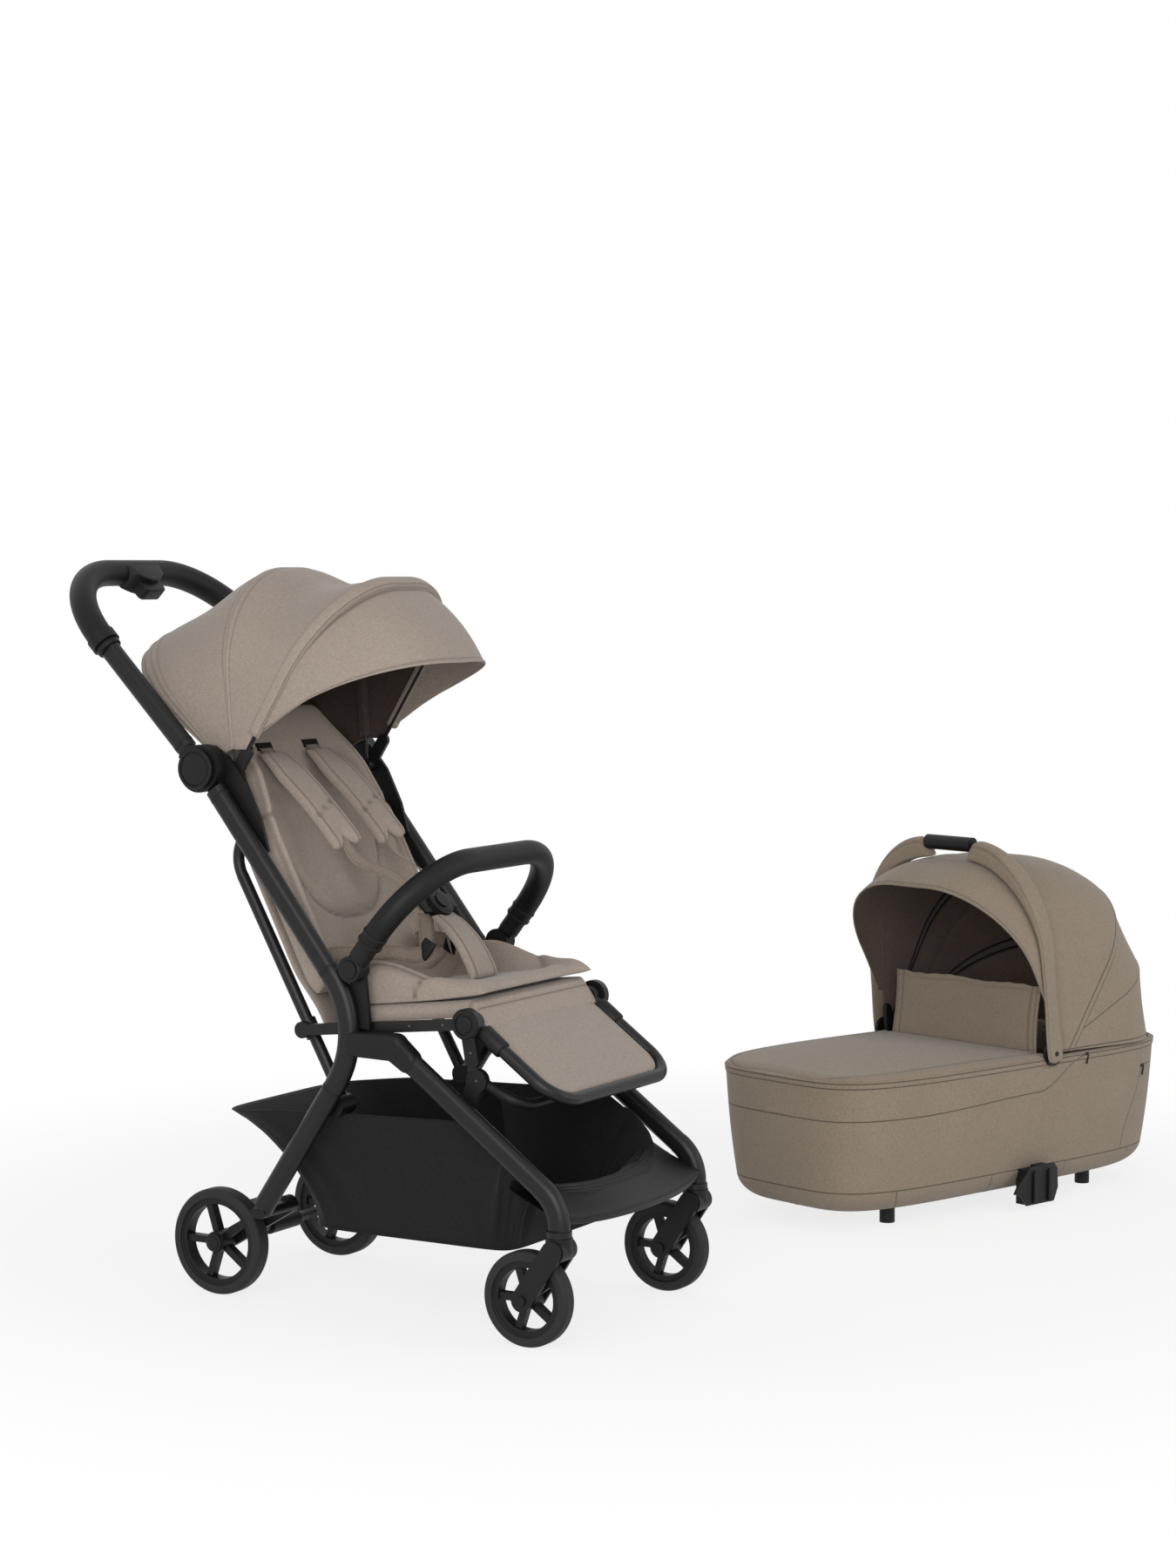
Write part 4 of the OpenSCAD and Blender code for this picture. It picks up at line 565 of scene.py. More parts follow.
def cloth(name, grid, where, out, material, slot, cut, held, rests_on, seam=None, thick=1.5, merge=False,
          drawn=None):
    """A curved sheet of cloth with its thickness; a second material lines it.

    cut is the width and length in metres before it was sewn, and the area left when its corners are cut.
    """
    made = piece(name, sheet(*grid, where, out, seam, merge, drawn), material, None, slot, 60)
    wall = made.modifiers.new("cloth", "SOLIDIFY")
    wall.thickness = thick / 1000
    wall.offset = -1
    if isinstance(material, list):
        wall.material_offset = 1
    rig.sheet(made, flat=cut[:2], held=held, rests_on=rests_on, area=cut[2])
    return made


black_cloth = woven("black_polyester_cloth", "#1d1d1f", "#111112", 1.2, 0.5, 0.06, "#060606")
rim_line = [(-546, 189), (-532, 204), (-515, 228), (-480, 258), (-440, 283), (-400, 283), (-115, 272.2),
            (6, 258)]
floor_share, basket_floor, basket_half = 0.28, 108, 136


def rim_height(y):
    """The height of the basket's rim, which hangs between points along the frame."""
    for (a, za), (b, zb) in zip(rim_line, rim_line[1:]):
        if y <= b:
            return za + (zb - za) * max(0, y - a) / (b - a)
    return rim_line[-1][1]


def basket_point(u, w):
    turn = 2 * pi * u
    up = max(0, (w - floor_share) / (1 - floor_share))
    half = basket_half + 24 * up + 9 * up * (sin(turn) < -0.2)
    x = half * power(cos(turn), 0.34 if sin(turn) > 0 else 0.2)
    rear, front = -132 + 138 * up ** 1.6, -470 - (75 - 7 * (x / half) ** 2) * up
    y = (rear + front) / 2 + (rear - front) / 2 * power(sin(turn), 0.34 if sin(turn) > 0 else 0.16)
    if w < floor_share:
        s = w / floor_share
        return at(x * s, -300 + (y + 300) * s, basket_floor + 1.5 - 1.2 * (1 - s * s))
    slack = sin(pi * min(1, up)) ** 0.8
    soft = 1 - slack * (0.03 + 0.016 * sin(9 * turn) + 0.008 * sin(23 * turn + 5 * up))
    hem = 0.006 * (up > 0.93) - 0.004 * bump_at(up, 0.925, 0.008)
    z = basket_floor + (rim_height(y) - basket_floor) * up
    return at(x * (soft + hem), -262 + (y + 262) * (soft + hem * 0.6), z - 0.4)


basket = cloth("basket_cloth", (160, 64), basket_point, away_from(at(0, -270, 220)), black_cloth,
               "basket_cloth", (0.72, 0.54, 0.319), "hung", ["main_tubes", "front_legs"],
               lambda u, w: max(bump_at(w, 0.946, 0.006), bump_at(w, 0.30, 0.008)), 1.6, True)
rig.replaces(basket, "basket")
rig.blend(basket, "rear_frame", "front_frame", at(0, -150, 200), at(0, -470, 200))

# Seat cushion and its sling
# A padded tray of taupe cloth with tall rear sides that fall to a rolled lip with pointed corners at the
# front. It lies on a cloth sling that is stretched between the two seat bars.
taupe = woven("taupe_melange_cloth", "#a79a8f", "#8f8277", 1.1, 0.62)
lining = woven("dark_brown_lining", "#4c3f39", "#392e2a", 1.1, 0.3, 0.15, "#0c0908")
upward = Vector((0, 0, 1))
seat_rear, seat_long, seat_half, seat_lift = -214, 209, 158, 23.4


def pad(name, grid, edge, where, top, bottom, body, fill, seam=None, material=taupe, slot="seat_cloth"):
    """A closed pad whose two faces meet along their edge.

    edge(u, w) gives the shares across and along and the place there, and top, bottom and seam take the
    shares. where lays a place and a height.
    """
    mesh = bmesh.new()
    line = mesh.verts.layers.float.new("seam")
    for face in (top, bottom):
        for vert in bmesh.ops.create_grid(mesh, x_segments=grid[0], y_segments=grid[1], size=0.5)["verts"]:
            v, f, x, s = edge(vert.co.x + 0.5, vert.co.y + 0.5)
            vert[line] = seam(v, f) if seam and face is top else 0
            vert.co = where(x, s, face(v, f))
    bmesh.ops.remove_doubles(mesh, verts=mesh.verts, dist=0.0002)
    bmesh.ops.recalc_face_normals(mesh, faces=mesh.faces)
    made = piece(name, mesh, material, body, slot, 70)
    soft = made.modifiers.new("soft", "SUBSURF")
    soft.levels = soft.render_levels = 1
    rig.padded(made, fill)
    return made


def spread(t, edge=2.2):
    """A share from minus one to one, with the rows of a grid drawn towards both ends."""
    s = 2 * t - 1
    return (1 - (1 - abs(s)) ** edge) * (1 if s >= 0 else -1)


def shares(u, w, edge_u=2.2, edge_w=2.2):
    """The shares across and along a pad, the second from nought to one."""
    return spread(u, edge_u), 0.5 + 0.5 * spread(w, edge_w)


def smooth(low, high, x):
    """A smooth step from nought at low to one at high."""
    t = min(1, max(0, (x - low) / (high - low)))
    return t * t * (3 - 2 * t)


def swell(v, f, side, end):
    """How far a pad's face has risen, from nought on its edge to one inside; large powers turn sharply."""
    return sqrt(max(0, 1 - abs(v) ** side) * max(0, 1 - abs(2 * f - 1) ** end))


def bar_top(y):
    """The height of the seat bars' upper side."""
    return 395.5 + 27 * (y + 159.3) / -264.7


def on_seat(x, y, n):
    return at(x, y, bar_top(y) + seat_lift + n)


def cushion_edge(u, w):
    v, f = shares(u, w, 2.2, 1.8)
    half = seat_half - 5 * sin(pi * f) - 17 * f ** 5
    return v, f, v * half, seat_rear - seat_long * f - 12 * f ** 6 * abs(v) ** 6


def lip_line(v):
    """Where the front lip's inner seam runs, which meets the side seam in a point."""
    return 0.86 - 0.3 * abs(v) ** 4


def cushion_top(v, f):
    seat = 9 + 4 * cos(v * pi / 2) * sin(pi * f)
    side_top = 48 + 6 * smooth(0, 0.2, f) - 42 * smooth(0.24, 0.84, f)
    side = side_top * smooth(0.7, 0.95, abs(v))
    lip = 5 * smooth(-0.02, 0.07, f - lip_line(v)) * (1 - 0.4 * smooth(0.9, 1, f))
    groove = 4 * bump_at(f, lip_line(v), 0.018) + 2.5 * bump_at(abs(v), 0.93, 0.012) * (f < 0.6)
    return 7 * f ** 3 + swell(v, f, 26 - 18 * smooth(0.6, 1, f), 18) * (seat + side + lip - groove)


def cushion_bottom(v, f):
    return 7 * f ** 3 - swell(v, f, 26, 22) * (1 + 2 * f)


def cushion_seam(v, f):
    return max(bump_at(f, lip_line(v), 0.012), bump_at(abs(v), 0.955, 0.01) * (f < 0.62))


cushion = pad("seat_pad", (56, 60), cushion_edge, on_seat, cushion_top, cushion_bottom, "seat", 0.7,
              cushion_seam)
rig.replaces(cushion, "seat_cushion")


def sling_point(u, w):
    y = -212 - 214 * w
    edge = abs(2 * u - 1)
    fold = 21 * max(0, (edge - 0.93) / 0.07) ** 2 + 11 * max(0, (w - 0.94) / 0.06) ** 2
    sag = 3 * cos(pi * (u - 0.5)) * (1 - w)
    return at((2 * u - 1) * (161.5 - 9 * w ** 3), y, bar_top(y) + 21.5 - fold - sag)


sling = cloth("seat_sling", (60, 48), sling_point, lambda c: upward, taupe, "seat_cloth",
              (0.34, 0.23, 0.0732), "stretched", ["seat_bars"],
              lambda u, w: 0.7 * max(bump_at(w, 0.955, 0.01), bump_at(abs(2 * u - 1), 0.945, 0.006)), 2.2)
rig.ride(sling, "seat")

# Backrest: covered board, padded liner
# A stiff board in a taupe cover carries a quilted liner with raised side wings. A sewn channel in the
# shape of a deep U marks off the small of the back, and a cross seam joins each wing's two halves.
on_back = plane((-159.3, 388), 63)
liner_low, liner_long, liner_half, liner_n = 38, 428, 136, 32
board_low, board_long, board_half, board_n = -8, 478, 139, 15


def liner_edge(u, w):
    v, f = shares(u, w, 1.8, 1.6)
    corner = 1 - 0.16 * max(0, (f - 0.82) / 0.18) ** 3
    half = liner_half + 20 * smooth(-0.1, 0.06, f) * (1 - smooth(0.5, 0.8, f))
    return v, f, v * half * corner, liner_low + liner_long * f


def u_channel(v, f):
    """How far a place is from the U-shaped channel, as a share of the liner's height."""
    return f - 0.235 - 0.36 * (min(1.15, abs(v) / 0.84)) ** 3.2


def liner_top(v, f):
    wing = 33 * smooth(0.72, 0.93, abs(v)) * smooth(-0.03, 0.04, f) * (1 - smooth(0.72, 0.97, f))
    inside = smooth(0.0, 0.05, u_channel(v, f)) * (1 - smooth(0.52, 0.62, f))
    groove = 6 * bump_at(u_channel(v, f), 0, 0.016) * (abs(v) < 0.8)
    roll = 3 * bump_at(abs(v), 0.9, 0.016) * smooth(0.03, 0.1, f) * (1 - smooth(0.76, 0.9, f))
    cross = 4 * bump_at(f, 0.595, 0.012) * smooth(0.66, 0.76, abs(v))
    fold = 2.5 * bump_at(f, 0.66 + 0.05 * abs(v), 0.02) * (abs(v) < 0.72)
    crease = sin(19 * v + 3 * f) * bump_at(f, 0.4, 0.12) * (abs(v) < 0.7)
    return liner_n + swell(v, f, 26, 18) * (10 + 5 * inside + wing - groove - roll - cross - fold + crease)


def liner_bottom(v, f):
    return liner_n - 10.8 * swell(v, f, 26, 18)


def liner_seam(v, f):
    piping = max(bump_at(abs(v), 0.9, 0.007), 0.8 * bump_at(abs(v), 0.965, 0.007)) * (0.03 < f < 0.86)
    channel = bump_at(u_channel(v, f), 0, 0.007) * (abs(v) < 0.8)
    return max(channel, piping, bump_at(f, 0.595, 0.005) * (abs(v) > 0.7))


liner = pad("back_liner", (84, 100), liner_edge, on_back, liner_top, liner_bottom, "backrest", 0.6,
            liner_seam)
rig.replaces(liner, "backrest_liner")


def board_edge(u, w):
    v, f = shares(u, w)
    corner = 1 - 0.2 * max(0, (f - 0.86) / 0.14) ** 3
    half = board_half + 18 * smooth(0.04, 0.2, f) * (1 - smooth(0.5, 0.8, f))
    return v, f, v * half * corner, board_low + board_long * f


def board_front(v, f):
    return board_n + 5.2 * swell(v, f, 20, 20)


def board_back(v, f):
    crown = 2.5 * cos(v * pi / 2) * sin(pi * f) - 2 * bump_at(abs(v), 0.84, 0.02)
    return board_n - swell(v, f, 20, 20) * (4 + crown)


board = pad("back_panel", (32, 48), board_edge, on_back, board_front, board_back, "backrest", 0.3)
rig.replaces(board, "backrest_shell")


def gusset_point(u, w):
    x = (2 * u - 1) * 150
    ear = 0.044 * smooth(0.86, 1, abs(2 * u - 1))
    return at(x, -238, 424).lerp(on_back(x, 46, 34), w) + upward * (ear - 0.006 * sin(pi * w))


gusset = cloth("seat_gusset", (40, 12), gusset_point, lambda c: Vector((0, -1, 1)), taupe, "seat_cloth",
               (0.38, 0.08, 0.0257), "hung", ["backrest_shell", "seat_bars"], None, 1.6)
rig.blend(gusset, "rear_frame", "backrest", at(0, -236, 424), on_back(0, 44, 34))

# Harness: shoulder pads, webbing, crotch pad and buckle
# Woven straps come through slots in the liner, run inside soft pads that hang forward, and meet a round
# buckle. Each waist strap has a slide adjuster, and a third strap comes up between the legs in its own pad.
webbing = woven("taupe_webbing", "#9a8c7e", "#7b6e62", 0.9, 0.5)
# Painted shade: near-black cloth that stands for the dark inside of the harness slots in the liner.
slot_opening_shade = woven("painted_slot_opening_shade", "#0e0d0d", "#060606", 0.9, 0.3, 0.05, "#030303")
strap_x, strap_s, pad_half, pad_long = 56, 388, 26, 178
hang = Vector((0, -167, 60.5)).normalized()
hang_out = Vector((0, 60.5, 167)).normalized()


def on_pad(x, along, out):
    """A place on a hanging shoulder pad: across, down along it and out from it."""
    return on_back(x, strap_s + along * hang.y + out * hang_out.y, 46.5 + along * hang.z + out * hang_out.z)


def shoulder_edge(u, w):
    v, f = shares(u, w)
    notch = 13 * bump_at(v, 0, 0.3) - 5 * bump_at(abs(v), 0.62, 0.25)
    return v, f, v * (pad_half - 2 * sin(pi * f)), f * (pad_long - notch * smooth(0.6, 1, f))


def shoulder_hang(v, f):
    """How a shoulder pad bows and twists as it hangs."""
    return 2 + 5 * sin(pi * f) + 7 * v * smooth(0, 0.3, f)


def shoulder_top(v, f):
    crease = 2.4 * bump_at(f, 0.66 - 0.06 * v, 0.018) + 1.8 * bump_at(abs(v), 0.68, 0.06)
    return shoulder_hang(v, f) + swell(v, f, 8, 22) * (8.5 - crease)


def shoulder_bottom(v, f):
    return shoulder_hang(v, f) - 4.5 * swell(v, f, 8, 22)


def shoulder_seam(v, f):
    return max(bump_at(abs(v), 0.68, 0.035), bump_at(f, 0.66 - 0.06 * v, 0.01))


shoulder_pads = [pad(f"shoulder_pad_{name}", (24, 48), shoulder_edge,
                     lambda x, s, n: on_pad(side * strap_x + x, s, n), shoulder_top, shoulder_bottom,
                     "backrest", 0.7, shoulder_seam) for side, name in sides]
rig.replaces(shoulder_pads[0], "shoulder_pads")


def smooth_path(points, t):
    """A place along a Catmull-Rom curve through the points."""
    last = len(points) - 1
    k = min(int(t * last), last - 1)
    f = t * last - k
    a, b, c, d = (points[max(0, min(last, k + i))] for i in (-1, 0, 1, 2))
    bend, swing = 2 * a - 5 * b + 4 * c - d, 3 * b - 3 * c + d - a
    return 0.5 * ((2 * b) + (c - a) * f + bend * f * f + swing * f ** 3)


def strap(name, points, width, body, twist=sideways, material=webbing, thick=1.6):
    """A flat strap along a smooth path, its width laid along twist, with bound edges."""
    def where(u, w):
        ahead = (smooth_path(points, w + 0.01) - smooth_path(points, w - 0.01)).normalized()
        side = (Vector(twist) - ahead * ahead.dot(Vector(twist))).normalized()
        return smooth_path(points, w) + side * (u - 0.5) * width / 1000

    steps = [smooth_path(points, k / 60) for k in range(61)]
    length = sum((b - a).length for a, b in zip(steps, steps[1:]))
    made = cloth(name, (8, 8 * len(points)), where, lambda c: Vector((0, -1, 0.6)), material, "webbing",
                 (width / 1000, length, None), "stretched", ["backrest_shell", "buckle"],
                 lambda u, w: 0.6 * bump_at(abs(2 * u - 1), 0.75, 0.12), thick)
    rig.ride(made, body)
    return made


def route(where, side, *points):
    """The places of points on one side of the seat."""
    return [where(side * x, s, n) for x, s, n in points]


def block(name, centre, size, turn, rounding, body, material=nylon, slot="plastic"):
    """A small moulded block with rounded edges; size in millimetres."""
    mesh = bmesh.new()
    bmesh.ops.create_cube(mesh, size=0.001)
    bmesh.ops.scale(mesh, vec=size, verts=mesh.verts)
    bmesh.ops.bevel(mesh, geom=list(mesh.edges), offset=rounding / 1000, segments=3, profile=0.5,
                    affect="EDGES", material=-1)
    bmesh.ops.transform(mesh, matrix=Matrix.Translation(centre) @ turn, verts=mesh.verts)
    return piece(name, mesh, material, body, slot)


chest_straps = []
for side, name in sides:
    strap(f"shoulder_strap_{name}", route(on_back, side, (strap_x, 404, 38), (strap_x, 398, 45),
                                          (strap_x, strap_s, 50), (strap_x, 377, 54)), 27, "backrest")
    chest = route(on_pad, side, (strap_x, 158, 2), (55, 176, 1), (50, 204, -4))
    chest += route(at, side, (38, -226, 589), (26, -252, 560), (20, -260, 549))
    twist = (0.85, -0.22 * side, -0.44 * side)
    chest_straps.append(strap(f"chest_strap_{name}", chest, 24, "backrest", twist))
    waist = route(on_back, side, (112, 84, 44), (104, 80, 62))
    waist += route(at, side, (74, -243, 490), (46, -262, 484), (30, -270, 490), (24, -266, 520),
                   (20, -262, 540))
    strap(f"waist_strap_{name}", waist, 22, "backrest", (0.3 * side, 0.55, 0.8))
    # Painted shade: a thin near-black strip on the liner's face stands for each slot's dark opening.
    strap(f"harness_slot_painted_shade_{name}", route(on_back, side, (strap_x, 408, 43.6), (strap_x, 403, 43.9),
                                        (strap_x, 396, 43.6)), 36, "backrest", sideways, slot_opening_shade, 1)
    tilt = Matrix.Rotation(radians(28), 4, "X") @ Matrix.Rotation(radians(-20 * side), 4, "Y")
    block(f"waist_slide_{name}", at(side * 32, -270, 491), (5, 20, 27), tilt, 1.6, "backrest")
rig.replaces(chest_straps[0], "harness_straps")

crotch_lean = 49.9
on_crotch = plane((-335, 466), crotch_lean)


def crotch_edge(u, w):
    v, f = shares(u, w)
    return v, f, v * (33 - 8 * f ** 2), -17 + 109 * f


def crotch_top(v, f):
    sewn = 2.2 * bump_at(abs(v), 0.7, 0.06) + 2 * bump_at(f, 0.93, 0.03)
    return 9 * sin(pi * f) + swell(v, f, 8, 16) * (8 - sewn)


def crotch_bottom(v, f):
    return 9 * sin(pi * f) - 4.5 * swell(v, f, 8, 16)


crotch_pad = pad("crotch_pad", (24, 28), crotch_edge, on_crotch, crotch_top, crotch_bottom, "seat", 0.7,
                 lambda v, f: bump_at(abs(v), 0.7, 0.035))
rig.replaces(crotch_pad, "crotch_strap")
strap("crotch_web", route(on_crotch, 1, (0, 86, 2), (0, 94, 3), (0, 103, 3)), 26, "seat")
buckle_rim = [(12, 12.9), (13.5, 13.4), (19.5, 13.1), (21.3, 11.6), (22.2, 8), (22.2, 2), (20.5, 0.4),
              (12, 0.4), (12, 12.9)]
turned("buckle_rim", buckle_rim, on_crotch(0, 107.2, -0.3), lean(crotch_lean + 90), "seat", 56)
for side, name in sides:
    block(f"buckle_prong_{name}", on_crotch(side * 29, 108, 4), (20, 24, 7),
          Matrix.Rotation(radians(crotch_lean), 4, "X"), 2, "seat")

# Leg rest
# A bent tube with a padded cloth panel laced inside it, hung on two round knuckles. A moulded sleeve
# holds each tube end, and a strip of cloth closes the gap below the seat.
rest_hub, rest_lean = (-424, 415), 216
rest_top_s, rest_long, rest_half, rest_corner = 10, 146, 143.5, 37
rest_plane = plane(rest_hub, rest_lean)


def on_rest(x, s, n):
    """A place on the leg rest: across, down along it and out from its upper face."""
    return rest_plane(x, s, -n)


def rest_edge(u, w):
    v, f = shares(u, w)
    s = rest_top_s + rest_long * f
    into = max(0, s - rest_top_s - rest_long + rest_corner)
    cut = rest_corner - sqrt(max(0, rest_corner ** 2 - into ** 2))
    return v, f, v * (rest_half - cut), s


def rest_top(v, f):
    crown = 4 * (1 - v * v) * sin(pi * min(1, f + 0.2)) - 1.6 * bump_at(abs(v), 0.93, 0.02)
    return swell(v, f, 20, 20) * (4.4 + crown)


def rest_bottom(v, f):
    return -4.2 * swell(v, f, 20, 20)


rest_panel = pad("leg_rest_pad", (32, 36), rest_edge, on_rest, rest_top, rest_bottom, "leg_rest", 0.4)
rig.replaces(rest_panel, "leg_rest_panel")


def bridge_point(u, w):
    x = 146 * (2 * u - 1)
    return at(x, -418, bar_top(-418) + 14).lerp(on_rest(x, 18, 4), w) + upward * 0.004 * sin(pi * w)


bridge = cloth("leg_rest_bridge", (40, 14), bridge_point, lambda c: upward, taupe, "seat_cloth",
               (0.3, 0.04, 0.0107), "hung", ["seat_bars", "leg_rest_frame"], None, 1.6)
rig.blend(bridge, "seat", "leg_rest", at(0, -418, 430), on_rest(0, 18, 0))
knuckle_cap = [(0, 2.4), (9, 2.3), (11, 1.8), (11.6, 0.6), (14.5, 0.5), (15, 2.2), (18.5, 2.2), (19.6, 1.2),
               (20, 0), (0, 0)]
tube_sleeve = [(9.2, 20), (12.4, 20.4), (12.8, 22), (12.2, 55), (11.6, 57.2), (10.6, 58), (9.2, 58),
               (9.2, 20)]
for side, name in sides:
    turned(f"rest_knuckle_cap_{name}", knuckle_cap, at(side * 173, *rest_hub), side * sideways, "seat", 48)
    turned(f"rest_sleeve_{name}", tube_sleeve, at(side * 152.5, *rest_hub), lean(rest_lean), "leg_rest")

# Handle grip and trigger
# Black leatherette over foam, ended by stepped nylon collars, with a squeeze lever in a housing below
# the crossbar. The embossed pebbles, 1.6 mm across, give the cover a broken, soft shine.
leather = solid("black_leatherette", "#080809", "#0f0f10", cloud=(25, 4), grain=(1.613, 0),
                relief=(0.25, 0.6), gloss=0.52, specular=0.24, texture="Voronoi", height="Distance")
dress(leather, "handle_grip", "bumper_cover", "cot_grip")
on_handle = plane(handle_pivot, handle_lean)
grip_end = [(11, 0), (16, 0.2), (17.6, 1.2), (18, 3), (18, 9), (17.2, 10.2), (17.6, 11.4), (18.6, 12),
            (18.6, 19), (17.8, 20.4), (11, 20.6), (11, 0)]
for side, name in sides:
    turned(f"grip_collar_{name}", grip_end, on_handle(side * tube_x, 226, 0), lean(handle_lean), "handle", 48)

shell_outline = [(-35, 372), (35, 372)] + [(32 - 5.333 * k, 341 + 15 * (1 - k / 6) ** 2) for k in range(13)]
shell = plate("trigger_shell", shell_outline, -12, 21.5, 2.4, on_handle, "handle", 1.22)
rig.replaces(shell, "trigger_housing")
corner = [(8 * sin(pi / 12 * k), 8 * cos(pi / 12 * k)) for k in range(7)]
lever_outline = [(-23, 348), (23, 348)] + [(15 + b, 336 - a) for a, b in corner]
lever_outline += [(-15 - a, 336 - b) for a, b in corner]
lever = plate("trigger_lever", lever_outline, -8, 13, 2.4, on_handle, "trigger", 1.04)
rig.replaces(lever, "fold_trigger")

# Bumper bar
# The same leatherette round a bent tube, laced on the inner side of one arm. Round release buttons sit
# in the end hubs, and two nylon rings close the cover on each arm.
bumper_hub, bumper_lean = (-256, 480), 128
on_bumper = plane(bumper_hub, bumper_lean)
button_ring = [(12.3, 1.2), (13, 1.7), (16.2, 1.5), (17.2, 0.9), (17.6, 0), (12.3, 0), (12.3, 1.2)]
arm_ring = [(16.8, -2.2), (17.9, -1.6), (18.3, 0), (17.9, 1.6), (16.8, 2.2), (16.8, -2.2)]
for side, name in sides:
    turned(f"bumper_ring_{name}", button_ring, at(side * 198, *bumper_hub), side * sideways, "bumper", 56)
    for k, s in enumerate((47, 61)):
        arm = on_bumper(side * 190, s, 0)
        turned(f"bumper_collar_{name}_{k}", arm_ring, arm, lean(bumper_lean), "bumper")
for k in range(11):
    slant = Matrix.Rotation(radians(38 + (24 if k % 2 else -24)), 4, "X")
    lace = on_bumper(172.6, 72 + 5.4 * k, 0)
    block(f"bumper_lace_{k}", lace, (1.6, 2, 11), slant, 0.6, "bumper", leather, "grip")

# Canopy
# Taupe cloth stretched over three hoops: pleated at the rear edge, seamed over the middle hoop and dipping
# before the front one, which has a wide sleeve with a stiffened peak below it. A brown lining shows inside.
canopy_pivot = (-44, 729)
hoops = [(39, 154, 283), (86, 160.5, 283), (122.4, 167, 311)]
sleeve_angle, cloth_lift = 121.6, 6.2
foot_share = 0.18


def hoop(t, half, length, bend=148):
    """A point along a hoop from foot to foot, as distance across and distance from the pivot."""
    if t > 0.5:
        x, y = hoop(1 - t, half, length, bend)
        return -x, y
    if t < foot_share:
        return -half, (length - bend) * t / foot_share
    turn = min(pi / 2, pi / 2 * (t - foot_share) / 0.3)
    return -bend * cos(turn) - (half - bend) * min(1, (0.5 - t) / 0.02), length - bend + bend * sin(turn)


def on_canopy(x, y, angle):
    """A place by the canopy's pivot: across, and a distance from it at an angle."""
    return plane(canopy_pivot, angle)(x, y, 0)


def canopy_point(k, s, t, lift, dip):
    """A place on the cloth between two hoops, which sags towards the chord between them."""
    angle, half, length = (a + (b - a) * t for a, b in zip(hoops[k], hoops[k + 1]))
    sag = dip * sin(pi * min(1, max(0, t))) ** 1.35 * sin(pi * s) ** 0.7
    x, y = hoop(s, half + lift, length + lift - sag)
    return on_canopy(x, y, angle)


from_pivot = away_from(at(0, -44, 735))


def rear_place(u, w):
    t = -0.05 + 1.03 * w
    pleat = 2.6 * bump_at(w, 0.02, 0.016) + 2 * bump_at(w, 0.085, 0.022) + 1.4 * bump_at(w, 0.15, 0.022)
    ridge = 1.4 * bump_at(t, 0.98, 0.02)
    return canopy_point(0, 0.05 + 0.9 * u, t, cloth_lift + pleat + ridge, 24)


def rear_seam(u, w):
    return max(bump_at(w, 0.05, 0.006), bump_at(w, 0.12, 0.005), 0.7 * bump_at(w, 0.18, 0.005),
               0.8 * bump_at(w, 0.955, 0.005))


canopy_rear = cloth("canopy_rear", (120, 96), rear_place, from_pivot, [taupe, lining], "seat_cloth",
                    (0.62, 0.25, 0.1118), "stretched", ["canopy_brackets", "canopy_mid_hoop"], rear_seam, 2)
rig.replaces(canopy_rear, "canopy_rear_cover")
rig.blend(canopy_rear, "rear_frame", "canopy_mid", on_canopy(0, 285, 41), on_canopy(0, 285, 84))


def drop_place(u, w):
    x, y = hoop(0.16 + 0.68 * u, 154, 281)
    return on_canopy(x, y + (min(y, 118) - y) * w, 39.6 + 2 * sin(pi * w))


drop = cloth("canopy_drop", (60, 24), drop_place, lambda c: Vector((0, 1, 0.3)), [taupe, lining], "lining",
             (0.31, 0.17, 0.0415), "hung", ["canopy_rear", "backrest_shell"])
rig.blend(drop, "rear_frame", "backrest", on_canopy(0, 150, 40), on_canopy(0, 119, 40))


def top_place(u, w):
    t = -0.02 + 0.98 * w
    return canopy_point(1, 0.05 + 0.9 * u, t, cloth_lift + 1.4 * bump_at(t, -0.01, 0.03), 30)


canopy_top = cloth("canopy_top", (120, 64), top_place, from_pivot, [taupe, lining], "seat_cloth",
                   (0.62, 0.21, 0.0896), "stretched", ["canopy_mid_hoop", "canopy_front_hoop"],
                   lambda u, w: 0.6 * bump_at(w, 0.06, 0.008), 2)
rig.replaces(canopy_top, "canopy_front_cover")
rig.blend(canopy_top, "canopy_mid", "canopy_front", on_canopy(0, 295, 88), on_canopy(0, 300, 119))


def band_place(half, length, angle, wide, thick, foot):
    """A padded band round a hoop: where(u, w) runs from foot to foot and round the band."""
    def where(u, w):
        turn = 2 * pi * w
        out = thick * power(cos(turn), 0.7)
        x, y = hoop(foot + (1 - 2 * foot) * u, half + out, length + out)
        ahead = on_canopy(x, y, angle + 1) - on_canopy(x, y, angle)
        return on_canopy(x, y, angle) + ahead.normalized() * wide(u) / 1000 * power(sin(turn), 0.6)

    return where


sleeve_place = band_place(171, 315.4, sleeve_angle, lambda u: 10.5 - 2 * abs(2 * u - 1), 5.2, 0.075)
sleeve = cloth("canopy_sleeve", (120, 28), sleeve_place, from_pivot, taupe, "seat_cloth",
               (0.66, 0.06, 0.0375), "stretched", ["canopy_front_hoop"],
               lambda u, w: bump_at(abs(w - 0.5), 0.36, 0.02), 1, True)
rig.ride(sleeve, "canopy_front")
rib_place = band_place(158.5, 281, hoops[1][0], lambda u: 7, 6.6, 0.06)
rib_sleeve = cloth("canopy_mid_sleeve", (90, 16), rib_place, from_pivot, lining, "lining",
                   (0.62, 0.056, 0.0332), "stretched", ["canopy_mid_hoop"], None, 1, True)
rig.ride(rib_sleeve, "canopy_mid")


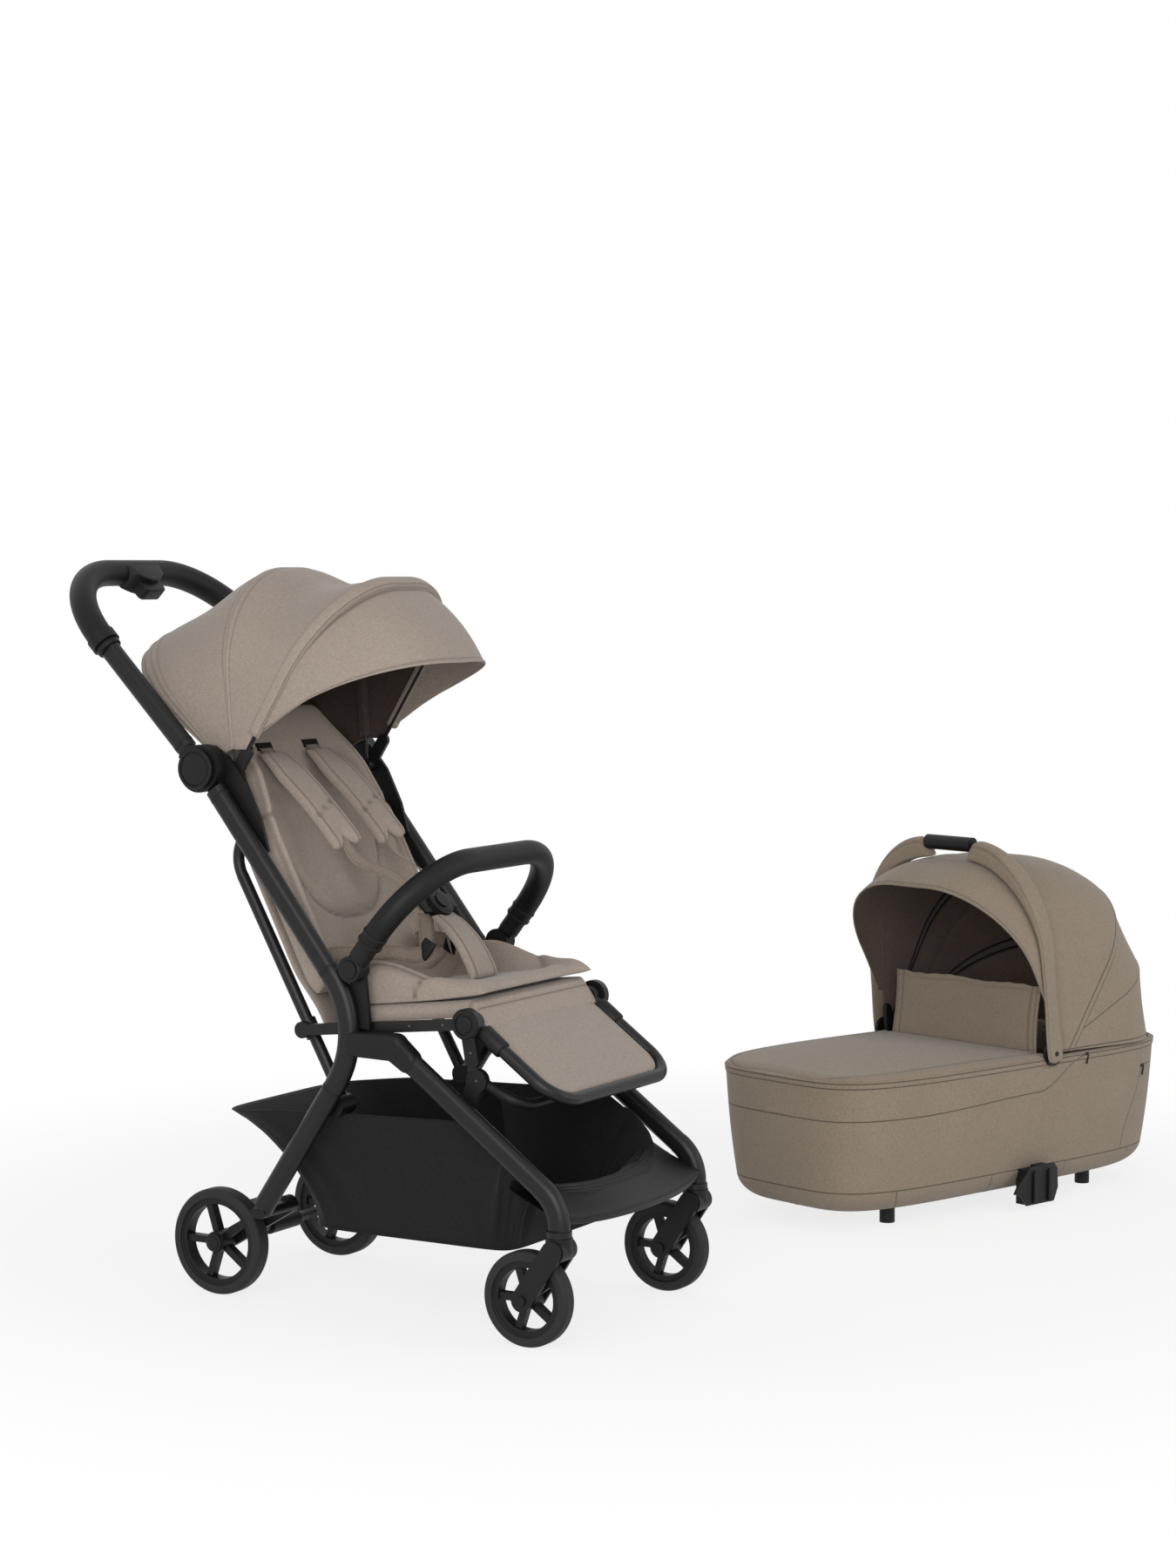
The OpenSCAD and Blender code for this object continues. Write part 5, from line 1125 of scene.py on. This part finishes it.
def peak_place(u, w):
    full = max(0.01, sin(pi * u)) ** 0.5
    fall = 4 * w * full - 2.5 * sin(pi * w) * sin(pi * u)
    hem = 1.5 * bump_at(w, 0.985, 0.02)
    x, y = hoop(0.085 + 0.83 * u, hoops[2][1] + 2.2 + hem, hoops[2][2] + 1.6 - fall + hem)
    return on_canopy(x, y, sleeve_angle + (26 * full + 1.5) * w)


peak = cloth("canopy_peak", (110, 48), peak_place, from_pivot, [taupe, taupe], "seat_cloth",
             (0.55, 0.17, 0.0629), "stretched", ["canopy_front_hoop"],
             lambda u, w: max(0.7 * bump_at(w, 0.955, 0.007), bump_at(w, 0.1, 0.02)), 2.4)
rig.replaces(peak, "canopy_visor")
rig.ride(peak, "canopy_front")

# Carrycot tub
# A padded tray with flared sides: taupe cloth over a stiff liner. A seam below the rim sweeps up to the
# hood's zip, a double zip runs round the rim, and a hem with a clip panel runs round the bottom edge.
feet_low, feet_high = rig.box("cot_feet")
cot = (feet_low + feet_high) / 2
cot_turn = radians(-18)
tub_half_long, tub_half_wide, tub_low, tub_rim = 395, 180, 28, 238
tub_high = tub_rim - tub_low
corner_power, corner_root = 4.444, 0.225
hem_top, hem_round = 62, 34
base_share, wall_share = 0.08, 0.86
clear = 20


def in_cot(u, v, z):
    """A place in the carrycot: towards the head, across, and above the floor."""
    return Vector((cot.x + (u * cos(cot_turn) - v * sin(cot_turn)) / 1000,
                   cot.y + (u * sin(cot_turn) + v * cos(cot_turn)) / 1000, z / 1000))


cot_taupe = woven("taupe_cot_cloth", "#988a7a", "#817363", 1.1, 0.62)
# Painted light: a lighter copy of the brown lining, lightened to make up for the shade inside the carrycot and its
# hood.
cot_lining_painted_lighter = woven("brown_lining_painted_lighter_for_cot", "#6a5a53", "#54463f", 1.1, 0.3, 0.15, "#0c0908")
zipped_taupe = woven("taupe_cot_cloth_with_zips", "#988a7a", "#817363", 1.1, 0.75, drawn=True)


def tub_plan(turn, inset=0):
    """The tub's rounded oblong in plan, drawn in by an inset."""
    reach = (abs(cos(turn)) ** corner_power + abs(sin(turn)) ** corner_power) ** -corner_root
    return (tub_half_long - inset) * reach * cos(turn), (tub_half_wide - inset) * reach * sin(turn)


def tub_wall(turn, z):
    """A place on the outer wall at a height."""
    inset = 20 * (1 - (z - tub_low) / tub_high)
    if z < hem_top:
        inset += hem_round * (1 - sqrt(max(0, 1 - ((hem_top - z) / hem_round) ** 2)))
    swollen = 2.5 * sin(pi * min(1, max(0, (z - 40) / 190)))
    return in_cot(*tub_plan(turn, inset - swollen), z)


def sweep_height(u):
    """The seam runs level at the foot end and sweeps up to the hood's zip."""
    return 176 + 9 * smooth(-250, 40, u) + 50 * smooth(28, 142, u)


def nearest(x, marks):
    """The distance to the nearest mark; its sign turns at each one, so it is nought nowhere else."""
    k = min(range(len(marks)), key=lambda i: abs(x - marks[i]))
    return (x - marks[k]) * (-1) ** k


def tub_lines(u, w):
    """Signed distances to the hem and rim zips, the sweeping seam, the upright seams and the pocket."""
    x, y = tub_plan(2 * pi * u)
    z = tub_low + tub_high * (w - base_share) / wall_share
    pocket = x - 302 + 36 * smooth(196, 80, z) if y < 0 else copysign(clear, x - 300)
    upright = pocket if z < 199 else copysign(clear, pocket)
    if z < hem_top:
        upright = nearest(x, (-292, -74, 112, 292))
    level = z - 198 if y < 0 and x > 302 else copysign(clear, z - 198)
    return nearest(z, (63, 227, 235)), z - sweep_height(x), upright, level


def tub_point(u, w):
    turn = 2 * pi * u
    f = (w - base_share) / wall_share
    if f < 0:
        return in_cot(0, 0, tub_low).lerp(tub_wall(turn, tub_low + 0.02), max(0.02, w / base_share))
    z = min(tub_low + tub_high * f, tub_rim)
    p = tub_wall(turn, z)
    inward = (in_cot(0, 0, z) - p).normalized()
    if f <= 1:
        run = tub_plan(turn)[0]
        panel = smooth(-76, -72, run) * (1 - smooth(110, 114, run)) * (1 - smooth(60, 63, z))
        return p - inward * (0.0012 * panel + 0.0016 * smooth(225, 228, z))
    k = (f - 1) * wall_share / (1 - base_share - wall_share)
    p += inward * 0.012 * min(1, k * 3)
    p.z = (tub_rim + 2 * sin(pi * min(1, k * 3)) - max(0, k - 0.33) / 0.67 * 60) / 1000
    return p


tub = cloth("cot_body", (260, 110), tub_point, away_from(in_cot(0, 0, 150)), zipped_taupe, "cot_cloth",
            (1.05, 0.92, 0.767), "stretched", ["cot_feet", "cot_fittings"], None, 2.5, True, tub_lines)
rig.replaces(tub, "cot_tub")
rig.ride(tub, "carrycot")
mattress_half_long, mattress_half_wide, mattress_z, mattress_deep = 352, 138, 60, 19


def on_mattress(x, y, n):
    """A place on the mattress, whose underside is drawn in."""
    tuck = max(0, -n) / mattress_deep
    return in_cot(x * (1 - 0.06 * tuck), y * (1 - 0.1 * tuck), mattress_z + n)


def mattress_edge(u, w):
    v, f = shares(u, w)
    run = 2 * f - 1
    return (v, f, mattress_half_long * run * (1 - 0.14 * max(0, abs(v) - 0.5) ** 2),
            mattress_half_wide * v * (1 - 0.22 * max(0, abs(run) - 0.6) ** 2))


def mattress_top(v, f):
    return swell(v, f, 8, 10) * (14 + 7 * cos(v * pi / 2) * sin(pi * f))


def mattress_bottom(v, f):
    return -mattress_deep * swell(v, f, 8, 10)


mattress = pad("cot_mattress_pad", (30, 44), mattress_edge, on_mattress, mattress_top, mattress_bottom,
               "carrycot", 0.7, None, lining, "lining")
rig.replaces(mattress, "cot_mattress")
cot_flat = Matrix.Rotation(cot_turn, 4, "Z")
hanging = cot_flat @ Matrix.Rotation(radians(14), 4, "Y")
for label, u, v, z in (("hood", 142, -179.3, 226), ("pocket", 306, -162.4, 188)):
    block(f"zip_pull_{label}", in_cot(u, v - 1, z), (3.4, 1.6, 15), hanging, 0.7, "carrycot")
    block(f"zip_slider_{label}", in_cot(u - 2, v, z + 9), (9, 4, 5), cot_flat, 1, "carrycot")


def on_cot_side(u, z, v):
    """A place in the carrycot's side view, at a distance from its middle."""
    return in_cot(u, v, z)


shroud_outline = [(-44, 30), (-30, 27), (-14, 8), (52, 8), (62, 30), (60, 62), (52, 70), (-8, 70), (-16, 60),
                  (-34, 44)]
for side, name in sides:
    plate(f"clip_shroud_{name}", shroud_outline, side * 183, side * 189.5, 3, on_cot_side, "carrycot")
    for k, u in enumerate((2, 38)):
        plate(f"clip_rail_{name}_{k}", capsule((u, 14), (u, 58), 4.5, 4.5, 8), side * 187, side * 194, 1.6,
              on_cot_side, "carrycot")
    plate(f"hood_stop_{name}", capsule((56, 238), (47, 282), 13, 7, 14), side * 168, side * 176, 2,
          on_cot_side, "carrycot")

# Carrycot apron and wind flap
# A lid of the same cloth, zipped to the rim over the foot half, with a padded flap that stands up at
# its edge.
apron_foot, apron_long = -393, 433
flap_foot, flap_tilt, flap_half, flap_high = (43.6, 246.1), radians(6), 156, 106


def apron_point(u, w):
    f = 1 - (1 - w) ** 2
    x = apron_foot + apron_long * f
    v = 2 * u - 1
    half = 179.5 * max(0, 1 - (abs(x) / tub_half_long) ** corner_power) ** corner_root
    rim = max(0, 1 - abs(v) ** 10) * (1 - (1 - f) ** 10)
    crown = 15 * (1 - v * v) * sin(pi * f) ** 1.2 - 1.5 * bump_at(abs(v), 0.9, 0.015)
    return in_cot(x, v * max(4, half), tub_rim + 0.8 + 6 * min(1, rim * 3) + crown)


apron = cloth("cot_apron_cloth", (80, 90), apron_point, lambda c: upward, cot_taupe, "cot_cloth",
              (0.44, 0.37, 0.1506), "stretched", ["cot_body"],
              lambda u, w: max(0.8 * bump_at(abs(2 * u - 1), 0.9, 0.008), 0.7 * bump_at(w, 0.985, 0.008)), 2)
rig.replaces(apron, "cot_apron")
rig.ride(apron, "carrycot")


def on_flap(y, s, n):
    """A place on the flap: across, up along it and out from it towards the head."""
    return in_cot(flap_foot[0] + s * sin(flap_tilt) + n * cos(flap_tilt), y,
                  flap_foot[1] + s * cos(flap_tilt) - n * sin(flap_tilt))


def flap_edge(u, w):
    v, f = shares(u, w)
    ripple = 1.6 * sin(7 * v) * f ** 3 + 0.8 * sin(31 * v) * f ** 6
    return v, f, flap_half * v * (1 - 0.02 * sin(pi * f)), -3 + flap_high * f + ripple


def flap_front(v, f):
    sewn = 1.6 * bump_at(abs(v), 0.9, 0.012) + 1.2 * bump_at(f, 0.93, 0.02)
    return -swell(v, f, 14, 10) * (3.4 + 1.2 * sin(pi * f) - sewn)


def flap_back(v, f):
    return swell(v, f, 14, 10) * (3.2 + 0.8 * sin(pi * f))


def flap_seam(v, f):
    return max(bump_at(abs(v), 0.9, 0.006), 0.7 * bump_at(abs(v), 0.965, 0.006),
               0.5 * bump_at(f, 0.93, 0.01))


flap = pad("cot_flap_pad", (56, 28), flap_edge, on_flap, flap_front, flap_back, "cot_flap", 0.5, flap_seam,
           cot_taupe, "cot_cloth")
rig.replaces(flap, "cot_wind_flap")

# Carrycot hood
# Taupe cloth over three ribs. A zip runs over the top from side to side, a seam crosses each rear quarter,
# the padded carry arch stands at the front with the grip in its gap, and a stiff peak shades the face.
hood_pivot, hood_half, hood_bend = (52, 245), 179.6, 150
rib_angles = (-1.1, 22.8, 47.3)
hood_front, arch_angle = 94.5, 97.5
zip_slope, seam_slope = radians(54), radians(23)


def on_hood(x, y, angle):
    """A place by the hood's pivot: across, and a distance from it at an angle."""
    a = radians(angle)
    return in_cot(hood_pivot[0] + y * cos(a), x, hood_pivot[1] + y * sin(a))


def hood_length(angle):
    """The hood's reach from its pivot: straight between the rear ribs, and lower towards the arch."""
    reach = 341 - 45 * max(0, angle - 50) / 42 + 9 * smooth(82, hood_front, angle)
    for a, b in zip(rib_angles, rib_angles[1:]):
        if a < angle < b:
            reach -= 8.5 * sin(pi * (angle - a) / (b - a))
    return reach


def hood_grid(u, w):
    """The share along the hood's hoop and the hoop's angle."""
    return 0.014 + 0.972 * u, rib_angles[0] + (hood_front - rib_angles[0]) * w


def hood_lines(u, w):
    """Signed distances in the side view from the zip, the rear seam and the hood's base."""
    s, angle = hood_grid(u, w)
    y = hoop(s, hood_half, hood_length(angle), hood_bend)[1]
    run, rise = y * cos(radians(angle)), y * sin(radians(angle))
    zip_off = (run - 48) * sin(zip_slope) - rise * cos(zip_slope)
    seam_off = (run - 110) * sin(seam_slope) - (rise - 45) * cos(seam_slope)
    return zip_off, seam_off, rise


def hood_place(u, w):
    s, angle = hood_grid(u, w)
    rib = 2.2 * bump_at(hood_lines(u, w)[0], 0, 6) + 0.8 * bump_at(angle, rib_angles[1], 1.2)
    front = 1.6 * smooth(82, hood_front, angle)
    return on_hood(*hoop(s, hood_half + front + rib * 0.5, hood_length(angle) + rib, hood_bend), angle)


def hood_drawn(u, w):
    zip_off, seam_off, rise = hood_lines(u, w)
    return abs(zip_off) - 5.2, seam_off if zip_off > 4 else copysign(clear, seam_off), rise - 2, clear


from_hood = away_from(in_cot(120, 0, 250))
hood = cloth("cot_hood_cloth", (170, 150), hood_place, from_hood, [zipped_taupe, cot_lining_painted_lighter], "cot_cloth",
             (0.9, 0.55, 0.3025), "stretched", ["cot_fittings", "cot_body"], None, 2, False, hood_drawn)
hood.modifiers["cloth"].material_offset_rim = 1
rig.replaces(hood, "cot_hood_cover")
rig.blend(hood, "carrycot", "cot_hood", on_hood(0, 330, 4), on_hood(0, 300, 86))


def piping_place(angle, offset):
    """A round piping inside the hood, a little off a rib's angle."""
    def where(u, w):
        turn = 2 * pi * w
        out = 1.6 * cos(turn)
        x, y = hoop(0.03 + 0.94 * u, 176.5 + out, hood_length(angle) - 4.6 + out, hood_bend)
        return on_hood(x, y, angle + offset + 0.3 * sin(turn))

    return where


for k, angle in enumerate((26, 60)):
    for side in (-1, 1):
        tube = sheet(90, 10, piping_place(angle, 1.5 * side), from_hood, merge=True)
        piping = piece(f"hood_rib_{k}_{side + 1}", tube, black_cloth, None, "lining", 60)
        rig.blend(piping, "carrycot", "cot_hood", on_hood(0, 330, 4), on_hood(0, 300, 86))


def arch_wide(s):
    """Half the arch's width: broad at the foot and the shoulder, narrow at the grip."""
    return 15 + 3 * bump_at(s, 0.02, 0.05) + 4.5 * bump_at(s, 0.3, 0.1) - 3 * smooth(0.36, 0.44, s)


def arch_place(side):
    """One half of the arch, from its foot to the grip."""
    ahead = in_cot(-sin(radians(arch_angle)), 0, cos(radians(arch_angle))) - in_cot(0, 0, 0)

    def where(u, w):
        s = -0.018 + 0.4965 * u
        turn = 2 * pi * w
        close = swell(0, u, 1, 60)
        thick = power(cos(turn), 0.7) * (6.2 + 20 * smooth(0.2, 0.46, s) * (cos(turn) > 0)) * close
        x, y = hoop(s, 187.8 + thick * 0.5, 311.5 + thick, hood_bend)
        return on_hood(-side * x, y, arch_angle) + ahead * arch_wide(s) * power(sin(turn), 0.6) * close

    return where


arches = []
for side, name in sides:
    arches.append(cloth(f"cot_arch_cloth_{name}", (90, 36), arch_place(side), from_hood, cot_taupe,
                        "cot_cloth", (0.45, 0.085, 0.0348), "stretched", ["cot_fittings", "cot_grip"],
                        lambda u, w: 0.8 * bump_at(abs(w - 0.5), 0.37, 0.015), 1, True))
    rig.ride(arches[-1], "cot_hood")
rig.replaces(arches[0], "cot_hood_arch")


def cot_peak_place(u, w):
    full = max(0.02, sin(pi * u)) ** 0.4
    x, y = hoop(0.08 + 0.84 * u, 182.5 + 3 * w, 303 - 2 * w * full + 2.5 * sin(pi * w) * full, hood_bend)
    return on_hood(x, y, hood_front + (22.5 * full + 1.5) * w)


cot_peak = cloth("cot_peak_cloth", (110, 40), cot_peak_place, from_hood, [cot_taupe, cot_lining_painted_lighter],
                 "cot_cloth", (0.52, 0.14, 0.0581), "stretched", ["cot_hood_cloth"],
                 lambda u, w: 0.8 * bump_at(w, 0.95, 0.008), 2.4)
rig.replaces(cot_peak, "cot_hood_visor")
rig.ride(cot_peak, "cot_hood")

# Floor, light and camera
# A pale studio floor that turns white away from the object, one broad soft light from the camera's side,
# two weaker ones, and a camera in the photograph's place.
scene = bpy.context.scene
scene.view_settings.view_transform = "Standard"
floor_mesh = bpy.data.meshes.new("floor")
paper_sheet = bmesh.new()
bmesh.ops.create_grid(paper_sheet, x_segments=1, y_segments=1, size=30)
paper_sheet.to_mesh(floor_mesh)
paper_sheet.free()
floor = bpy.data.objects.new("floor", floor_mesh)
scene.collection.objects.link(floor)
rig.stage(floor)
paper, tree, shader, place = started("studio_paper")
shader.inputs["Base Color"].default_value = linear("#efefef")
shader.inputs["Roughness"].default_value = 1
shader.inputs["Specular IOR Level"].default_value = 0


def background_rays(tree, *kinds):
    """One for the rays that should see a white background, and nought for the rest."""
    rays = add(tree, "ShaderNodeLightPath")
    seen = rays.outputs[kinds[0]]
    for kind in kinds[1:]:
        seen = add(tree, "ShaderNodeMath", {0: seen, 1: rays.outputs[kind]}, operation="MAXIMUM").outputs[0]
    return seen


seen = background_rays(tree, "Is Camera Ray", "Is Glossy Ray", "Is Transmission Ray")
reach = add(tree, "ShaderNodeVectorMath", {0: place}, operation="LENGTH")
away = add(tree, "ShaderNodeMapRange", {"Value": reach.outputs["Value"], "From Min": 0.75, "From Max": 1.7,
                                        "To Min": 0.8, "To Max": 1.0}, interpolation_type="SMOOTHSTEP")
share = add(tree, "ShaderNodeMath", {0: seen, 1: away.outputs["Result"]}, operation="MULTIPLY")
white = add(tree, "ShaderNodeEmission", {"Color": linear("#ffffff"), "Strength": 1})
mixed = add(tree, "ShaderNodeMixShader",
            {0: share.outputs[0], 1: shader.outputs["BSDF"], 2: white.outputs["Emission"]})
tree.links.new(mixed.outputs["Shader"], tree.nodes["Material Output"].inputs["Surface"])
floor_mesh.materials.append(paper)

world = bpy.data.worlds.new("studio")
world.use_nodes = True
scene.world = world
sky = world.node_tree
level = add(sky, "ShaderNodeMapRange", {"Value": background_rays(sky, "Is Camera Ray", "Is Glossy Ray"),
                                        "To Min": 0.48, "To Max": 1.0})
sky.nodes["Background"].inputs["Color"].default_value = linear("#ffffff")
sky.links.new(level.outputs["Result"], sky.nodes["Background"].inputs["Strength"])


def lamp(name, where, towards, size, watts):
    """A soft rectangular light, in metres."""
    data = bpy.data.lights.new(name, "AREA")
    data.shape = "RECTANGLE"
    data.size, data.size_y = size
    data.energy = watts
    made = bpy.data.objects.new(name, data)
    made.location = where
    made.rotation_euler = (Vector(towards) - Vector(where)).to_track_quat("-Z", "Y").to_euler()
    scene.collection.objects.link(made)


lamp("key", (-3.6, -1.4, 1.5), (0, 0, 0.5), (2.4, 2.0), 66)
lamp("fill", (0.4, -3.4, 1.6), (0.2, 0, 0.4), (2.4, 2.0), 26)
lamp("back", (0.6, 2.6, 2.6), (0, 0, 0.6), (2.5, 1.6), 8)

picture_high, focal_pixels = 1800, 3599.5
turn, lift = radians(-59.79), radians(3.947)
camera_data = bpy.data.cameras.new("camera")
camera_data.sensor_fit = "AUTO"
camera_data.sensor_width = 36
camera_data.lens = camera_data.sensor_width * focal_pixels / picture_high
camera = bpy.data.objects.new("camera", camera_data)
view = Vector((sin(turn) * cos(lift), -cos(turn) * cos(lift), sin(lift)))
camera.location = at(-3647, -2635, 1018)
camera.rotation_euler = view.to_track_quat("Z", "Y").to_euler()
scene.collection.objects.link(camera)
scene.camera = camera

seen_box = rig.bounds()
with open("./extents.json", "w") as sizes:
    json.dump({"cad": [list(p) for p in cad_box], "visual": [list(p) for p in seen_box]}, sizes)
